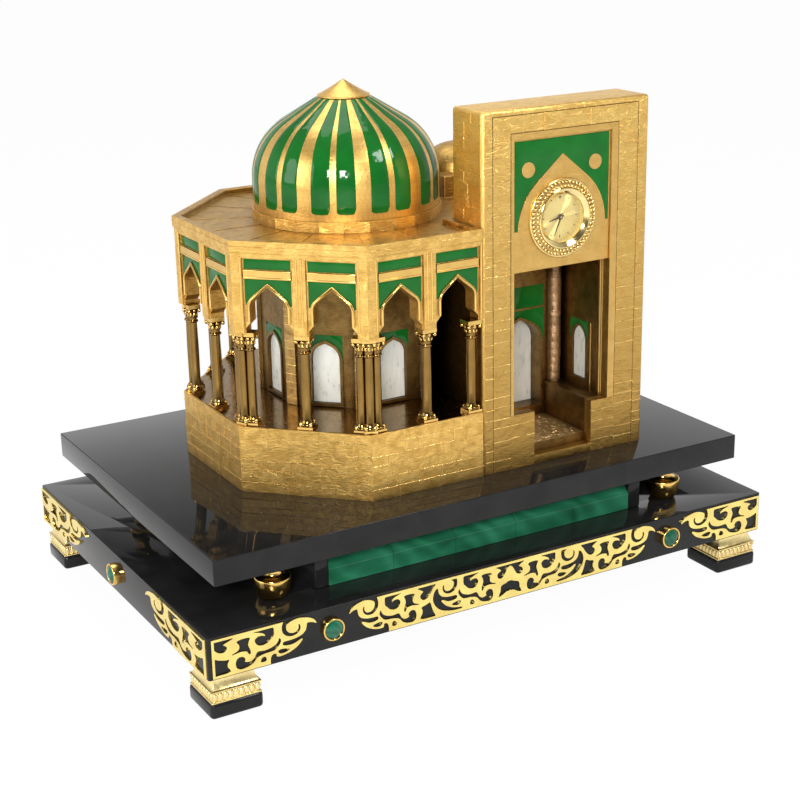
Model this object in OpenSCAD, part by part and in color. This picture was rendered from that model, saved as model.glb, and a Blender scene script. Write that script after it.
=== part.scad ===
// Table clock: a gilt domed pavilion with a clock in its portal, on a stepped black stone stand

/* [Stand] */
// Length of the lower slab
base_l = 300; // [270:1:330]
// Width of the lower slab
base_w = 208; // [195:1:230]
// Thickness of the lower slab
base_t = 19.5; // [18:0.5:26]
// Length of the upper slab
deck_l = 282; // [262:1:300]
// Width of the upper slab
deck_w = 189; // [182:1:200]
// Thickness of the upper slab
deck_t = 12; // [8:0.5:18]
// Open height between the two slabs
deck_gap = 17.5; // [15:0.5:24]
// Rounding of the slabs' upright edges
slab_round = 1; // [0.5:0.1:2]

/* [Feet] */
// Side of the stone foot block
foot_side = 24.5; // [20:0.5:30]
// Height of the stone foot block
foot_block_h = 7; // [5:0.5:10]
// Side of the gilt pad above the block
pad_side = 23.4; // [18:0.2:26]
// Height of the gilt pad
pad_h = 12; // [9:0.5:14]
// Height of the ornamented lower band of the pad
pad_band_h = 6; // [4:0.5:7]
// How far the pad's hollow throat draws in
pad_throat = 2.2; // [1:0.1:4]
// Distance from the slab's faces to the foot block
foot_inset = 0.6; // [0:0.1:4]

/* [Pillars and core] */
// Half spacing of the pillars along the length
pillar_x = 107.5; // [104:0.5:118]
// Half spacing of the pillars along the width
pillar_y = 80; // [60:0.5:84]
// Radius of the ring round a pillar
pillar_ring_r = 8.2; // [6:0.1:10]
// Radius of a pillar's neck
pillar_neck_r = 4.2; // [3:0.1:5]
// Radius of the dowel at each end of a pillar
dowel_r = 2.2; // [1.5:0.1:2.8]
// Depth of the dowel in each slab
dowel_d = 6; // [3:0.5:7]
// Half length of the core block
core_x = 89.5; // [80:0.5:94]
// Half width of the core block behind the strips
core_y = 75.5; // [60:0.5:77]
// Length of a malachite strip
strip_l = 165; // [140:1:172]
// Depth of a malachite strip from front to back
strip_d = 9.5; // [8:0.5:12]
// Upright height of the strip below its bevel
strip_face_h = 8; // [5:0.5:10]
// Tiles in a strip
strip_tiles = 5; // [3:1:8]

/* [Scroll plates] */
// Thickness of the pierced plates
plate_t = 0.9; // [0.5:0.1:1.5]
// Height of the plates
plate_h = 17.8; // [16.5:0.1:18]
// Length of a corner plate on the front and the back
corner_l = 49; // [46:0.5:52]
// Length of a corner plate on the sides
corner_side_l = 64; // [56:0.5:80]
// Stone left bare at the slab's corner beside a plate
corner_bare = 1.6; // [0.8:0.1:3]
// Stone left bare between a corner plate and a cabochon's collar
corner_clear = 2.2; // [1.5:0.1:4]
// Stone left bare between a cabochon's collar and the middle plate
middle_clear = 3.3; // [2:0.1:5]
// Width of the plates' border strips
border_w = 1.1; // [0.8:0.1:1.6]

/* [Cabochons] */
// Radius of a cabochon's gilt collar
collar_r = 5.2; // [4.6:0.1:6]
// Radius of a cabochon
cabochon_r = 4.2; // [3:0.1:4.4]
// How far a collar stands out of the slab
collar_h = 3.2; // [2:0.1:4]

/* [Pavilion] */
// Place of the octagon's centre along the length
oct_x = -21.5; // [-24:0.5:-19]
// Place of the octagon's centre along the width
oct_y = 2; // [-4:0.5:6]
// Distance from the octagon's centre to its outer faces
oct_a = 75.5; // [73:0.5:78]
// Height of the podium
podium_h = 31.5; // [26:0.5:36]
// Wall of the podium casting
podium_wall = 5; // [4:0.5:8]
// Height of the columns with base and capital
column_h = 44; // [40:0.5:50]
// Height of the arched wall above the columns
arcade_h = 37; // [36:0.5:42]
// Thickness of the arched wall
arcade_t = 8; // [7:0.5:10]
// Width of one bay's field
bay_w = 23.2; // [22:0.1:24]
// Width of the pier between a facet's two bays
pier_mid_w = 6.2; // [5:0.1:8]
// Clear width of an arch
arch_w = 17.4; // [14:0.1:18]
// Height of the arch's tip above the capitals
arch_tip = 21.5; // [19:0.5:22.5]
// Height from the springing of an arch to its tip
arch_rise = 9.5; // [8:0.1:11]
// Width of the gilt rim round an arch
arch_rim = 1.4; // [1:0.1:2]
// Radius of a column's shaft
shaft_r = 2.4; // [1.8:0.1:2.6]
// Radius of a shaft in a corner cluster
cluster_r = 1.8; // [1.4:0.1:1.9]
// Side of a column's capital
capital_side = 7.2; // [6:0.1:8]
// Distance of the columns' axes behind the facade
column_back = 4.4; // [4:0.1:5]
// Distance from the centre to the inner chamber's faces
chamber_a = 41; // [36:0.5:44]
// Wall of the inner chamber
chamber_wall = 3; // [2.6:0.2:5]

/* [Roof and dome] */
// Thickness of the roof with its parapet
roof_t = 5.2; // [4:0.2:8]
// Depth of the sunk roof surface below the parapet
roof_sink = 2.6; // [1:0.2:3]
// Width of the parapet
parapet_w = 4; // [3:0.2:7]
// Overhang of the cornice over the facade
cornice = 0.6; // [0.2:0.1:1.5]
// Radius of the dome at its widest
dome_r = 43.9; // [38:0.1:46]
// Height of the drum below the dome
drum_h = 5; // [3:0.5:8]
// Height of the dome from the drum to the start of its curve
dome_upright = 13.5; // [8:0.5:18]
// Radius of the dome's shoulder
dome_bend = 31; // [26:0.5:34]
// Slope of the dome's upper part from level
dome_slope = 31; // [26:1:36]
// Radius of the cap on top
cap_r = 11.5; // [9:0.5:14]
// Height of the cap
cap_h = 7.5; // [6:0.5:10]
// Wall of the dome with its enamel
dome_wall = 3; // [2:0.2:5]
// Thickness of the enamel
enamel_t = 0.8; // [0.5:0.1:1.2]
// Pairs of ribs round the dome
dome_pairs = 10; // [6:1:14]
// Angle taken by a wide rib
wide_rib = 8.6; // [6:0.2:10]
// Angle taken by a thin rib
thin_rib = 3.4; // [2:0.2:5]

/* [Portal] */
// Left edge of the portal
portal_x = 6; // [4:0.5:8]
// Width of the portal
portal_w = 92; // [88:0.5:100]
// Depth of the portal's upper wall
portal_d = 25; // [23:0.5:30]
// Height of the portal
portal_h = 169; // [164:1:176]
// Width of the portal's left pier
pier_w = 17; // [14:0.5:19]
// Width of the portal's right pier
right_pier_w = 21.2; // [18:0.2:24]
// Height of the clock panel's lower edge
panel_z = 94.2; // [90:0.1:96]
// Height of the clock panel
panel_h = 60.7; // [58:0.1:64]
// Depth from the portal's face to the panel's face
panel_back = 1; // [0.6:0.1:3]
// Thickness of the panel
panel_t = 3; // [2:0.2:4]
// Height of the clock's axis
clock_z = 117; // [115:0.1:119]
// Height of the landing inside the porch
landing_h = 8.5; // [6:0.5:11]
// Depth of the lower step and of the portal's jambs
tread = 5; // [4:0.5:8]
// Height of the low wall left of the steps
wall_h = 26.5; // [20:0.5:30]
// Height of the bench right of the steps
bench_h = 25.5; // [18:0.5:28]
// Width of the steps
steps_w = 32.8; // [26:0.2:38]
// Distance of the steps' middle to the right of the clock's axis
steps_shift = 1.2; // [-2:0.1:3]
// Wall of the porch
porch_wall = 4; // [3:0.5:5]
// Depth from the portal's face to the porch's rear wall
porch_d = 39.8; // [34:0.2:42]

/* [Clock insert] */
// Radius of the bezel
bezel_r = 18.3; // [17.8:0.1:20]
// Radius of the insert's can
can_r = 16.4; // [16:0.1:16.8]
// Depth of the can behind the panel's face
can_d = 10.4; // [10:0.1:12]
// Wall of the can
can_wall = 0.8; // [0.6:0.1:0.9]
// Clearance between the can and the bore in the panel
bore_gap = 0.6; // [0.4:0.1:0.8]
// Radius of the dial that shows
dial_show_r = 11.4; // [10.5:0.1:12]
// Length of the minute hand
minute_l = 9.2; // [7:0.1:9.6]
// Length of the hour hand
hour_l = 6.4; // [4:0.1:7]
// Minutes past twelve that the hands show
shown_minutes = 514; // [0:1:719]
// Running clearance of the arbors
run_gap = 0.05; // [0.03:0.01:0.08]
// Module of the train and of the motion work
wheel_m = 0.2; // [0.19:0.002:0.206]

/* [Hidden] */
$fn = 48;
eps = 0.01;
gold = "goldenrod";
bright_gold = "gold";
enamel_green = "forestgreen";
stone_black = "#1c1c1e";
malachite_green = "#14643c";

// Levels above the table
z_base = foot_block_h + pad_h;
z_shelf = z_base + base_t;
z_deck = z_shelf + deck_gap;
z_ground = z_deck + deck_t;

// Levels above the deck
z_capital = podium_h + column_h;
z_roof = z_capital + arcade_h;
z_drum = z_roof + roof_t - roof_sink;
z_dome = z_drum + drum_h;

oct_side = 2 * oct_a * tan(22.5);
front_y = oct_y - oct_a;
back_y = oct_y + oct_a;
portal_end = portal_x + portal_w;
portal_back = front_y + portal_d;
open_x = portal_x + pier_w;
open_w = portal_w - pier_w - right_pier_w;
open_end = open_x + open_w;
panel_y = front_y + panel_back;
clock_x = open_x + open_w / 2;
steps_x = clock_x + steps_shift - steps_w / 2;
steps_end = steps_x + steps_w;
hall_wall = 4;
rim_back = 1;
facet_turns = [0, -45, -90, -135, -180];
bay_mid = (bay_w + pier_mid_w) / 2;
capital_h = 8.6;
corners = [[-1, -1], [1, -1], [1, 1], [-1, 1]];
cluster_step = 4.1;

// Front cabochons between the corner plates and the middle plate, and half the middle plate's length
cabochon_x = base_l / 2 - corner_bare - corner_l - corner_clear - collar_r;
middle_l = cabochon_x - collar_r - middle_clear;

// Malachite strips and the collars of the cabochons
tile_joint = 0.12;
strip_lip = 1.5;
collar_round = 0.4;
collar_floor = 1;

// Dome
dome_rise = dome_bend * sin(90 - dome_slope);
dome_bend_r = dome_r - dome_bend * (1 - cos(90 - dome_slope));
cap_z = dome_upright + dome_rise + (dome_bend_r - cap_r) * tan(dome_slope);
cap_lip = 1;
dome_lean = 0.4;
dome_waist = dome_upright * 0.6;
enamel_foot = 2.6;

// Windows
window_w = 13.6;
window_rise = 7.4;
window_lean = 65;
window_z = 2;
window_h = 29;
window_rim = 1.4;
rim_rise = 0.6;

// Porch
porch_front = front_y + tread;
rear_y = front_y + porch_d;
rear_wall = 10;
rear_recess = 7.7;
porch_column_r = 2.85;
column_in = 4.2;
column_out = 1.3;
rear_half = 12.3;
rear_in = 11.6;
rear_mid = open_end - rear_in - rear_half;
rear_spring = 46.4;
rear_sill = 13.8;
rear_rim = 1.4;
side_mid = porch_front + 18.4;
side_half = 5.3;
side_spring = 49.4;
side_sill = 30;
side_recess = 2;

// Clock insert, measured from the panel's face towards the front
bore_r = can_r + bore_gap;
bore_d = can_d + 4.6;
gasket_z = -5;
gasket_h = 1;
gasket_sink = 0.4;
crystal_r = dial_show_r + 1.2;
dial_z = -1.8;
dial_t = 0.4;
hand_t = 0.2;

// Movement
plate_z = -3.6;
main_t = 0.8;
train_gap = 2.4;
bridge_t = 0.6;
wheel_t = 0.3;
arbor_r = 0.7;
arbor_tip_r = 0.5;
pivot_r = 0.3;
post_r = 0.5;
pipe_r = 1;
stem_r = 0.7;
magnet_r = 1.8;
knob_r = 2.6;
knob_h = 1.6;
centre_teeth = 40;
pinion_teeth = 8;
third_teeth = 48;
cannon_teeth = 12;
motion_teeth = 36;
motion_pinion = 10;
hour_teeth = 40;
rotor_m = wheel_m * 0.75;
motion_reach = wheel_m * (cannon_teeth + motion_teeth) / 2;
hour_m = 2 * motion_reach / (motion_pinion + hour_teeth);
third_reach = wheel_m * (centre_teeth + pinion_teeth) / 2;
rotor_reach = rotor_m * (third_teeth + pinion_teeth) / 2;
motion_line = 90;
stem_line = 30;
third_line = 210;
rotor_line = 180;
function polar(r, a) = r * [cos(a), sin(a)];
motion_at = polar(motion_reach, motion_line);
stem_at = motion_at + polar(motion_reach, stem_line);
third_at = polar(third_reach, third_line);
rotor_at = third_at + polar(rotor_reach, rotor_line);
centre_turn = 0;
cannon_turn = 0;
third_turn = 0;
motion_pinion_turn = 0;
centre_z = plate_z - main_t - 0.6;
third_z = plate_z - main_t - 1.6;
stator_z = plate_z - main_t - 0.9;
stator_t = 0.5;
coil_y = -10.5;
cell_at = [8.5, -3];
cell_r = 3.4;

// Round-cornered rectangle about the origin
function round_rect(l, w, r) = [
    for (q = [0:3], s = [0:4])
        let (sx = (q == 0 || q == 3) ? 1 : -1, sy = q < 2 ? 1 : -1)
        [sx * (l / 2 - r) + r * cos(q * 90 + s * 22.5),
         sy * (w / 2 - r) + r * sin(q * 90 + s * 22.5)]
];

// Keel arch from its right springing over the tip to the left one
function keel(half, rise, lean = 50) =
    let (r = (rise - half / tan(lean)) / tan(lean / 2))
    concat(
        [for (i = [0:5]) [half - r + r * cos(lean * i / 5), r * sin(lean * i / 5)]],
        [[0, rise]],
        [for (i = [5:-1:0]) [r - half - r * cos(lean * i / 5), r * sin(lean * i / 5)]]
    );

// Arch with straight legs that reach down by the given drop
module arch(half, rise, drop, lean = 50) {
    polygon(concat([[half, -drop]], keel(half, rise, lean), [[-half, -drop]]));
}

// Stands a flat outline up, facing the front, with its face at the given y
module upright(y_face, depth) {
    translate([0, y_face + depth, 0]) rotate([90, 0, 0]) linear_extrude(depth) children();
}

// Stands a flat outline up on a wall that faces left, with its face at the given x
module facing_left(x_face, depth) {
    translate([x_face + depth, 0, 0]) rotate([90, 0, -90]) linear_extrude(depth) children();
}

module on_ground() {
    translate([0, 0, z_ground]) children();
}

module at_octagon() {
    translate([oct_x, oct_y, 0]) children();
}

// Regular octagon with flat sides to the front, back, left and right
module octagon(apothem) {
    rotate(22.5) circle(apothem / cos(22.5), $fn = 8);
}

// Everything of the pavilion left of the portal
module left_of_portal(height) {
    intersection() {
        children();
        translate([portal_x - 2 * base_l, -base_l, -1]) cube([2 * base_l, 2 * base_l, height + 2]);
    }
}

// Stand

module slab(l, w, t) {
    linear_extrude(t) polygon(round_rect(l, w, slab_round));
}

module dowel_holes(z, depth) {
    for (c = corners)
        translate([c[0] * pillar_x, c[1] * pillar_y, z]) cylinder(r = dowel_r + run_gap, h = depth);
}

module base_slab() {
    color(stone_black) difference() {
        translate([0, 0, z_base]) slab(base_l, base_w, base_t);
        dowel_holes(z_shelf - dowel_d, dowel_d + 1);
    }
}

module deck_slab() {
    color(stone_black) difference() {
        translate([0, 0, z_deck]) slab(deck_l, deck_w, deck_t);
        dowel_holes(z_deck - 1, dowel_d + 1);
    }
}

function foot_place(c) = [
    c[0] * (base_l / 2 - foot_inset - foot_side / 2),
    c[1] * (base_w / 2 - foot_inset - foot_side / 2), 0];

module foot_block(i) {
    foot_round = 2;
    color(stone_black) translate(foot_place(corners[i]))
        linear_extrude(foot_block_h) polygon(round_rect(foot_side, foot_side, foot_round));
}

// Pad with an upright band and a throat hollowed by a bar along each side
module foot_pad(i) {
    throat_h = pad_h - pad_band_h;
    hollow_r = (throat_h * throat_h + pad_throat * pad_throat) / (2 * pad_throat);
    color(bright_gold) translate(foot_place(corners[i]) + [0, 0, foot_block_h]) difference() {
        translate([-pad_side / 2, -pad_side / 2, 0]) cube([pad_side, pad_side, pad_h]);
        for (turn = [0:90:270])
            rotate(turn)
                translate([pad_side / 2 - pad_throat + hollow_r, 0, pad_h])
                rotate([90, 0, 0]) cylinder(r = hollow_r, h = 2 * pad_side, center = true);
    }
}

// Turned pillar: a bowl that carries a ring, and a neck with a collar above
module pillar(i) {
    ring_z = deck_gap * 0.46;
    ring_h = 1.6;
    step = 1;
    cove_h = 2.4;
    foot_r = pillar_neck_r + step;
    neck_z = ring_z + ring_h + cove_h;
    color(bright_gold) translate([corners[i][0] * pillar_x, corners[i][1] * pillar_y, z_shelf])
        rotate_extrude() polygon(concat(
            [[0, -dowel_d], [dowel_r, -dowel_d], [dowel_r, 0]],
            [for (a = [-90:15:0])
                [foot_r + (pillar_ring_r - foot_r) * cos(a), ring_z + ring_z * sin(a)]],
            [[pillar_ring_r, ring_z + ring_h]],
            [for (a = [90:-18:0])
                [pillar_neck_r + (pillar_ring_r - step - pillar_neck_r) * (1 - cos(90 - a)),
                 neck_z - cove_h * sin(a)]],
            [[pillar_neck_r, deck_gap - ring_h], [pillar_neck_r + step, deck_gap - ring_h],
             [pillar_neck_r + step, deck_gap], [dowel_r, deck_gap],
             [dowel_r, deck_gap + dowel_d], [0, deck_gap + dowel_d]]
        ));
}

// Core with a pocket for the strips along its front and its back
module core_block() {
    half_w = core_y + strip_d;
    color(stone_black) translate([0, 0, z_shelf]) linear_extrude(deck_gap) difference() {
        square([2 * core_x, 2 * half_w], center = true);
        for (side = [-1, 1])
            translate([0, side * (half_w + core_y) / 2]) square([strip_l, strip_d + eps], center = true);
    }
}

// Bevelled tiles along the front and the back of the core
module malachite_strips() {
    tile = strip_l / strip_tiles;
    slope = min(strip_d - strip_lip, deck_gap - strip_face_h - strip_lip);
    color(malachite_green) for (side = [-1, 1], i = [0:strip_tiles - 1])
        translate([-strip_l / 2 + i * tile + tile_joint / 2, side * core_y, z_shelf])
            mirror([0, side < 0 ? 1 : 0, 0]) rotate([90, 0, 90]) linear_extrude(tile - tile_joint)
            polygon([[0, 0], [strip_d, 0], [strip_d, strip_face_h], [strip_d - slope, strip_face_h + slope],
                     [strip_d - slope, deck_gap], [0, deck_gap]]);
}

// Pierced scroll plates

// Curve through the given points with one more point between each two
function eased(p, closed = true) =
    let (n = len(p))
    concat(
        [for (i = [0:closed ? n - 1 : n - 2], half = [0, 1])
            let (before = closed ? (i + n - 1) % n : max(i - 1, 0),
                 after = closed ? (i + 2) % n : min(i + 2, n - 1))
            half == 0 ? p[i] : (9 * (p[i] + p[(i + 1) % n]) - p[before] - p[after]) / 16],
        closed ? [] : [p[n - 1]]);

// Free end of a scroll, drawn 49.4 by 18 from a straight edge at x = 0 to the tip of the end volute's leaf
module scroll_end() {
    lower_leaf = [[26.9, 0], [26.9, 1.9], [27.3, 3.5], [28.4, 4.4], [29.7, 4.1], [30, 2.7], [32.3, 2.5],
                  [35.7, 3.1], [39.6, 4.8], [41.9, 6.9], [42.4, 7.8], [41.4, 7.9], [38.4, 6.7], [35.1, 6.6],
                  [33.1, 7.2], [32.9, 8.3], [33.9, 8.8]];
    volute = [[36.2, 8.8], [39.5, 9.1], [42.2, 9.9], [43.9, 11.3], [44.5, 13], [44.8, 14.6], [46, 14.8],
              [47.9, 14.3], [49.4, 13.5], [48.4, 15.4], [46.2, 16.8], [43.4, 17.6], [40.7, 18], [37.9, 17.6],
              [35.9, 16.8], [35, 16.2]];
    eye = [[34.8, 14.8], [35.2, 13.4], [36.5, 12.2], [38.4, 11.8], [40, 12.4], [40.8, 13.8], [40.6, 15],
           [41.2, 15.1], [41.7, 14], [41.4, 12.5], [40.3, 11.2], [38.4, 10.5], [36.2, 10.6], [34.1, 11.7],
           [33, 13.3], [32.7, 15.4], [33.1, 17], [33.5, 18]];
    polygon(concat([[0, 18], [0, 0]], eased(concat(lower_leaf, volute, eye), false)));
}

// Openings that each repeat of the scroll has
module scroll_openings() {
    // Upright opening between the bud and the loop, with a slit under the bud
    polygon(eased([[11.4, 14.7], [14.6, 15.3], [17.7, 15], [17.2, 13.5], [16.8, 11.7], [17.5, 9.8],
                   [17.9, 7.9], [17.2, 7.2], [16.5, 8.1], [15.8, 9], [12.9, 9.4], [9.3, 8.9],
                   [9.3, 9.4], [11.5, 10.1], [12.6, 11.3], [12.5, 13]]));
    // Loop with a curl that hangs into it
    polygon(eased([[18.7, 17.1], [23.4, 17.3], [28.4, 17.1], [29, 15], [28.8, 13], [27.6, 11.9], [26.1, 10.5],
                   [23.4, 9.8], [21.1, 10.5], [19.9, 12.4], [20.2, 13.6], [21.7, 14.5], [24, 14.2],
                   [24.9, 13.8], [24.2, 15.1], [21.8, 16.1]]));
    // Long opening from inside the hook, along the foot of the loop
    polygon(eased([[15.3, 5.4], [14.5, 6.7], [12.9, 7.2], [11.3, 6.5], [10.6, 4.6], [11, 2.5], [12.9, 1.3],
                   [16.2, 1.6], [18.7, 2.6], [20.2, 4.2], [21.7, 5.1], [25.1, 5.7], [28.7, 5.9], [30.6, 7.1],
                   [32.1, 9.1], [32, 10.5], [31.3, 11.1], [30.9, 10.1], [29.8, 8.7], [27.3, 7.6], [24.3, 7.2],
                   [21.3, 7.5], [20.2, 6.5], [19.3, 4.9], [17.5, 3.9], [15.8, 4.1], [14.8, 4.6]]));
    // Slits of the lower leaf
    polygon(eased([[22.2, 2.7], [23.1, 4.1], [24.5, 4.2], [25.1, 2.5], [24, 1.8], [22.6, 2]]));
    polygon(eased([[30.5, 5.1], [32, 5.7], [34.3, 5.4], [36.3, 4.6], [34, 3.6], [31.5, 3.7]]));
}

// Openings round the bud where a scroll starts from an upright border
module border_start() {
    polygon(eased([[0.7, 17.1], [5.1, 17.3], [10.1, 16.8], [7.9, 15.8], [5.4, 14.8], [6.7, 13.8], [7, 12.7],
                   [6.1, 11.5], [4.5, 11.2], [2.6, 11.9], [1.2, 13.3], [0.7, 15]]));
    polygon(eased([[0.7, 8.9], [2.9, 8.3], [5.7, 7.5], [7.9, 7.3], [7, 5.7], [7.1, 3.8], [8.3, 1.7], [4.6, 1],
                   [1, 0.8], [0.7, 4]]));
}

// Openings round the bud where a scroll starts from the one before it
module joined_start() {
    polygon(eased([[-1.2, 17.1], [4, 17.3], [9.6, 16.8], [8.2, 15.8], [6.4, 14.7], [7.8, 13.6], [8.2, 12.2],
                   [7.2, 10.9], [5.6, 10.5], [4, 11.1], [2.3, 12.6], [0.5, 15]]));
    polygon(eased([[2.4, 8.6], [5, 7.8], [7.6, 7.2], [7, 5.6], [7.2, 3.8], [8.4, 1.7], [4, 1], [-0.8, 1],
                   [0.4, 3.4], [1.4, 6]]));
}

// Openings round the bud where a scroll starts from its mirror image
module mirrored_start() {
    polygon(eased([[-0.2, 17.2], [4, 17.3], [8.8, 16.8], [7.2, 15.9], [5.6, 14.8], [7.4, 13.9], [8.1, 12.5],
                   [7.2, 11.1], [5.7, 10.8], [4.1, 11.5], [2.8, 13.3], [1.4, 15.4], [-0.2, 16.2]]));
    polygon(eased([[-0.2, 8.6], [2.4, 8], [5.4, 7.1], [6, 5.4], [6.1, 4.2], [7.3, 1.7], [4.5, 2.4], [2, 3.6],
                   [-0.2, 4]]));
}

// Openings round the volute of a scroll that runs on into the next one
module joined_end() {
    polygon(eased([[33.3, 17], [36.8, 17.2], [35.2, 16], [34.8, 14.8], [35.2, 13.4], [36.5, 12.2],
                   [38.4, 11.8], [40, 12.4], [40.8, 13.8], [40.6, 15], [41.2, 15.1], [41.7, 14],
                   [41.4, 12.5], [40.3, 11.2], [38.4, 10.5], [36.2, 10.6], [34.1, 11.7],
                   [33, 13.3], [32.7, 15.4]]));
    polygon(eased([[33.1, 7.2], [32.9, 8.3], [33.9, 8.8], [36.2, 8.8], [39.5, 9.1], [42, 9.9], [43.6, 11.3],
                   [44.2, 12.9], [44.5, 14.3], [46.1, 13.6], [47.2, 11.5], [47.5, 9.2], [46.5, 6.5], [44, 4],
                   [41, 2.6], [35.6, 1.5], [30.2, 1.4], [30, 2.2], [32.3, 2.5], [35.7, 3.1], [39.6, 4.8],
                   [41.9, 6.9], [42.4, 7.8], [41.4, 7.9], [38.4, 6.7], [35.1, 6.6]]));
}

// Borders along the top and the bottom of a plate
module borders(top, bottom) {
    translate([0, plate_h - border_w]) square([top, border_w]);
    square([bottom, border_w]);
}

// Corner plate in its own plane, with its upright border at x = 0
module corner_outline(length) {
    square([border_w, plate_h]);
    borders(length * 0.66, length * 0.54);
    scale([length / 49.4, plate_h / 18]) difference() {
        scroll_end();
        scroll_openings();
        border_start();
    }
}

// Half of the middle plate, from the centre at x = 0 to its end volute:
// a scroll that starts 46.8 along another
module middle_half() {
    borders(middle_l * 0.825, middle_l * 0.76);
    scale([middle_l / 96.2, plate_h / 18]) {
        difference() {
            square([48, 18]);
            scroll_openings();
            mirrored_start();
            joined_end();
            translate([46.8, 0]) joined_start();
        }
        translate([46.8, 0]) difference() {
            scroll_end();
            scroll_openings();
            joined_start();
            translate([-46.8, 0]) joined_end();
        }
    }
}

module plate_on_front(side) {
    mirror([0, side > 0 ? 1 : 0, 0])
        translate([0, -base_w / 2, z_base + (base_t - plate_h) / 2])
        rotate([90, 0, 0]) linear_extrude(plate_t) offset(delta = eps) children();
}

module plate_on_side(side) {
    mirror([side > 0 ? 1 : 0, 0, 0])
        translate([-base_l / 2, 0, z_base + (base_t - plate_h) / 2])
        rotate([90, 0, -90]) linear_extrude(plate_t) offset(delta = eps) children();
}

module middle_plate(side) {
    color(bright_gold) plate_on_front(side) {
        middle_half();
        mirror([1, 0]) middle_half();
    }
}

// The pair of plates that meets at one corner
module corner_plates(i) {
    c = corners[i];
    color(bright_gold) {
        plate_on_front(c[1]) mirror([c[0] > 0 ? 1 : 0, 0])
            translate([-base_l / 2 + corner_bare, 0]) corner_outline(corner_l);
        plate_on_side(c[0]) mirror([c[1] < 0 ? 1 : 0, 0])
            translate([-base_w / 2 + corner_bare, 0]) corner_outline(corner_side_l);
    }
}

// Cabochons

module at_cabochons() {
    z = z_base + base_t / 2;
    for (side = [-1, 1]) {
        for (x = [-cabochon_x, cabochon_x])
            translate([x, side * base_w / 2, z]) rotate([side < 0 ? 90 : -90, 0, 0]) children();
        translate([side * base_l / 2, 0, z]) rotate([0, side * 90, 0]) children();
    }
}

module cabochon_collars() {
    color(bright_gold) at_cabochons() rotate_extrude() polygon([
        [0, 0], [collar_r, 0], [collar_r, collar_h - collar_round], [collar_r - collar_round, collar_h],
        [cabochon_r + run_gap, collar_h], [cabochon_r + run_gap, collar_floor], [0, collar_floor]]);
}

module cabochons() {
    rise = 1.4;
    ball_r = (cabochon_r * cabochon_r + rise * rise) / (2 * rise);
    color(malachite_green) at_cabochons() intersection() {
        translate([0, 0, collar_floor]) cylinder(r = cabochon_r, h = collar_h + rise);
        translate([0, 0, collar_h - collar_round + rise - ball_r]) sphere(ball_r);
    }
}

// Pavilion

module podium() {
    color(gold) on_ground() left_of_portal(podium_h) at_octagon() difference() {
        linear_extrude(podium_h) octagon(oct_a);
        translate([0, 0, -1]) linear_extrude(podium_h - podium_wall + 1) octagon(oct_a - podium_wall);
    }
}

// Clear space of one bay below and in its arch, measured from the capitals' top
module bay_opening(half) {
    spring = arch_tip - arch_rise;
    corbel = 2.6;
    impost_h = 2.4;
    widen = (bay_mid * 2 - arch_w - capital_side) / 2;
    translate([0, spring]) arch(half, arch_rise, spring + 1);
    polygon([[-half - widen, -1], [half + widen, -1], [half + widen, impost_h],
             [half, impost_h + corbel], [-half, impost_h + corbel], [-half - widen, impost_h]]);
}

// Enamelled fields of one bay: a band on top, and the spandrel round the arch
module bay_enamel() {
    band_h = 4.6;
    band_top = 3;
    bar_h = 4.4;
    edge = 0.8;
    foot = 1.2;
    band_z = arcade_h - band_top - band_h;
    field_top = band_z - bar_h;
    spring = arch_tip - arch_rise;
    side = bay_w / 2 - edge;
    translate([-side, band_z]) square([2 * side, band_h]);
    difference() {
        translate([-side, spring + foot]) square([2 * side, field_top - spring - foot]);
        translate([0, spring]) arch(arch_w / 2 + arch_rim, arch_rise + arch_rim * 1.3, spring);
    }
}

// Gilt bar, rim and borders that stand out of a bay's field
module bay_rim() {
    spring = arch_tip - arch_rise;
    foot_z = 6;
    difference() {
        translate([0, spring]) arch(arch_w / 2 + arch_rim, arch_rise + arch_rim * 1.3, spring - foot_z);
        bay_opening(arch_w / 2);
    }
}

module each_bay() {
    for (side = [-1, 1]) translate([side * bay_mid, 0]) children();
}

// Slice of the octagon that belongs to one facet
module facet_sector(height) {
    reach = 1.1;
    linear_extrude(height) polygon([[0, 0], [-oct_side / 2 * reach, -oct_a * reach],
                                    [oct_side / 2 * reach, -oct_a * reach]]);
}

// Arched wall over one facet, with its fields sunk for the enamel
module arcade(i) {
    head = 2.4;
    rim_out = 0.6;
    color(gold) on_ground() left_of_portal(z_roof) at_octagon() rotate(facet_turns[i])
        translate([0, 0, z_capital]) intersection() {
            facet_sector(arcade_h);
            union() {
                difference() {
                    upright(-oct_a + rim_back, arcade_t - rim_back) difference() {
                        translate([-oct_side / 2, 0]) square([oct_side, arcade_h]);
                        each_bay() bay_opening(arch_w / 2);
                    }
                    upright(-oct_a + rim_back - 1, enamel_t + 1) each_bay() bay_enamel();
                }
                upright(-oct_a, rim_back + eps) difference() {
                    translate([-oct_side / 2, 0]) square([oct_side, arcade_h]);
                    each_bay() translate([-bay_w / 2, -1]) square([bay_w, arcade_h - head + 1]);
                }
                upright(-oct_a + rim_back - rim_out, rim_out + eps) each_bay() bay_rim();
            }
        }
}

module column_profile() {
    half = capital_side / 2;
    neck_z = column_h - capital_h;
    rotate_extrude() polygon(concat(
        [[0, 1.4], [half - 0.2, 1.4]],
        [for (a = [-60:30:90]) [half - 0.9 + 0.7 * cos(a), 2.2 + 0.8 * sin(a)]],
        [[shaft_r + 0.5, 3.4], [shaft_r, 4.4], [shaft_r, neck_z]],
        [for (a = [-90:30:90]) [shaft_r + 0.6 * cos(a), neck_z + 0.7 + 0.6 * sin(a)]],
        [[shaft_r, neck_z + 1.4]],
        [for (a = [0:15:75]) [half - 0.2 - (half - 0.2 - shaft_r) * cos(a), neck_z + 1.4 + 5.4 * sin(a)]],
        [[half - 0.3, column_h - 1.8], [0, column_h - 1.8]]));
}

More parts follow.
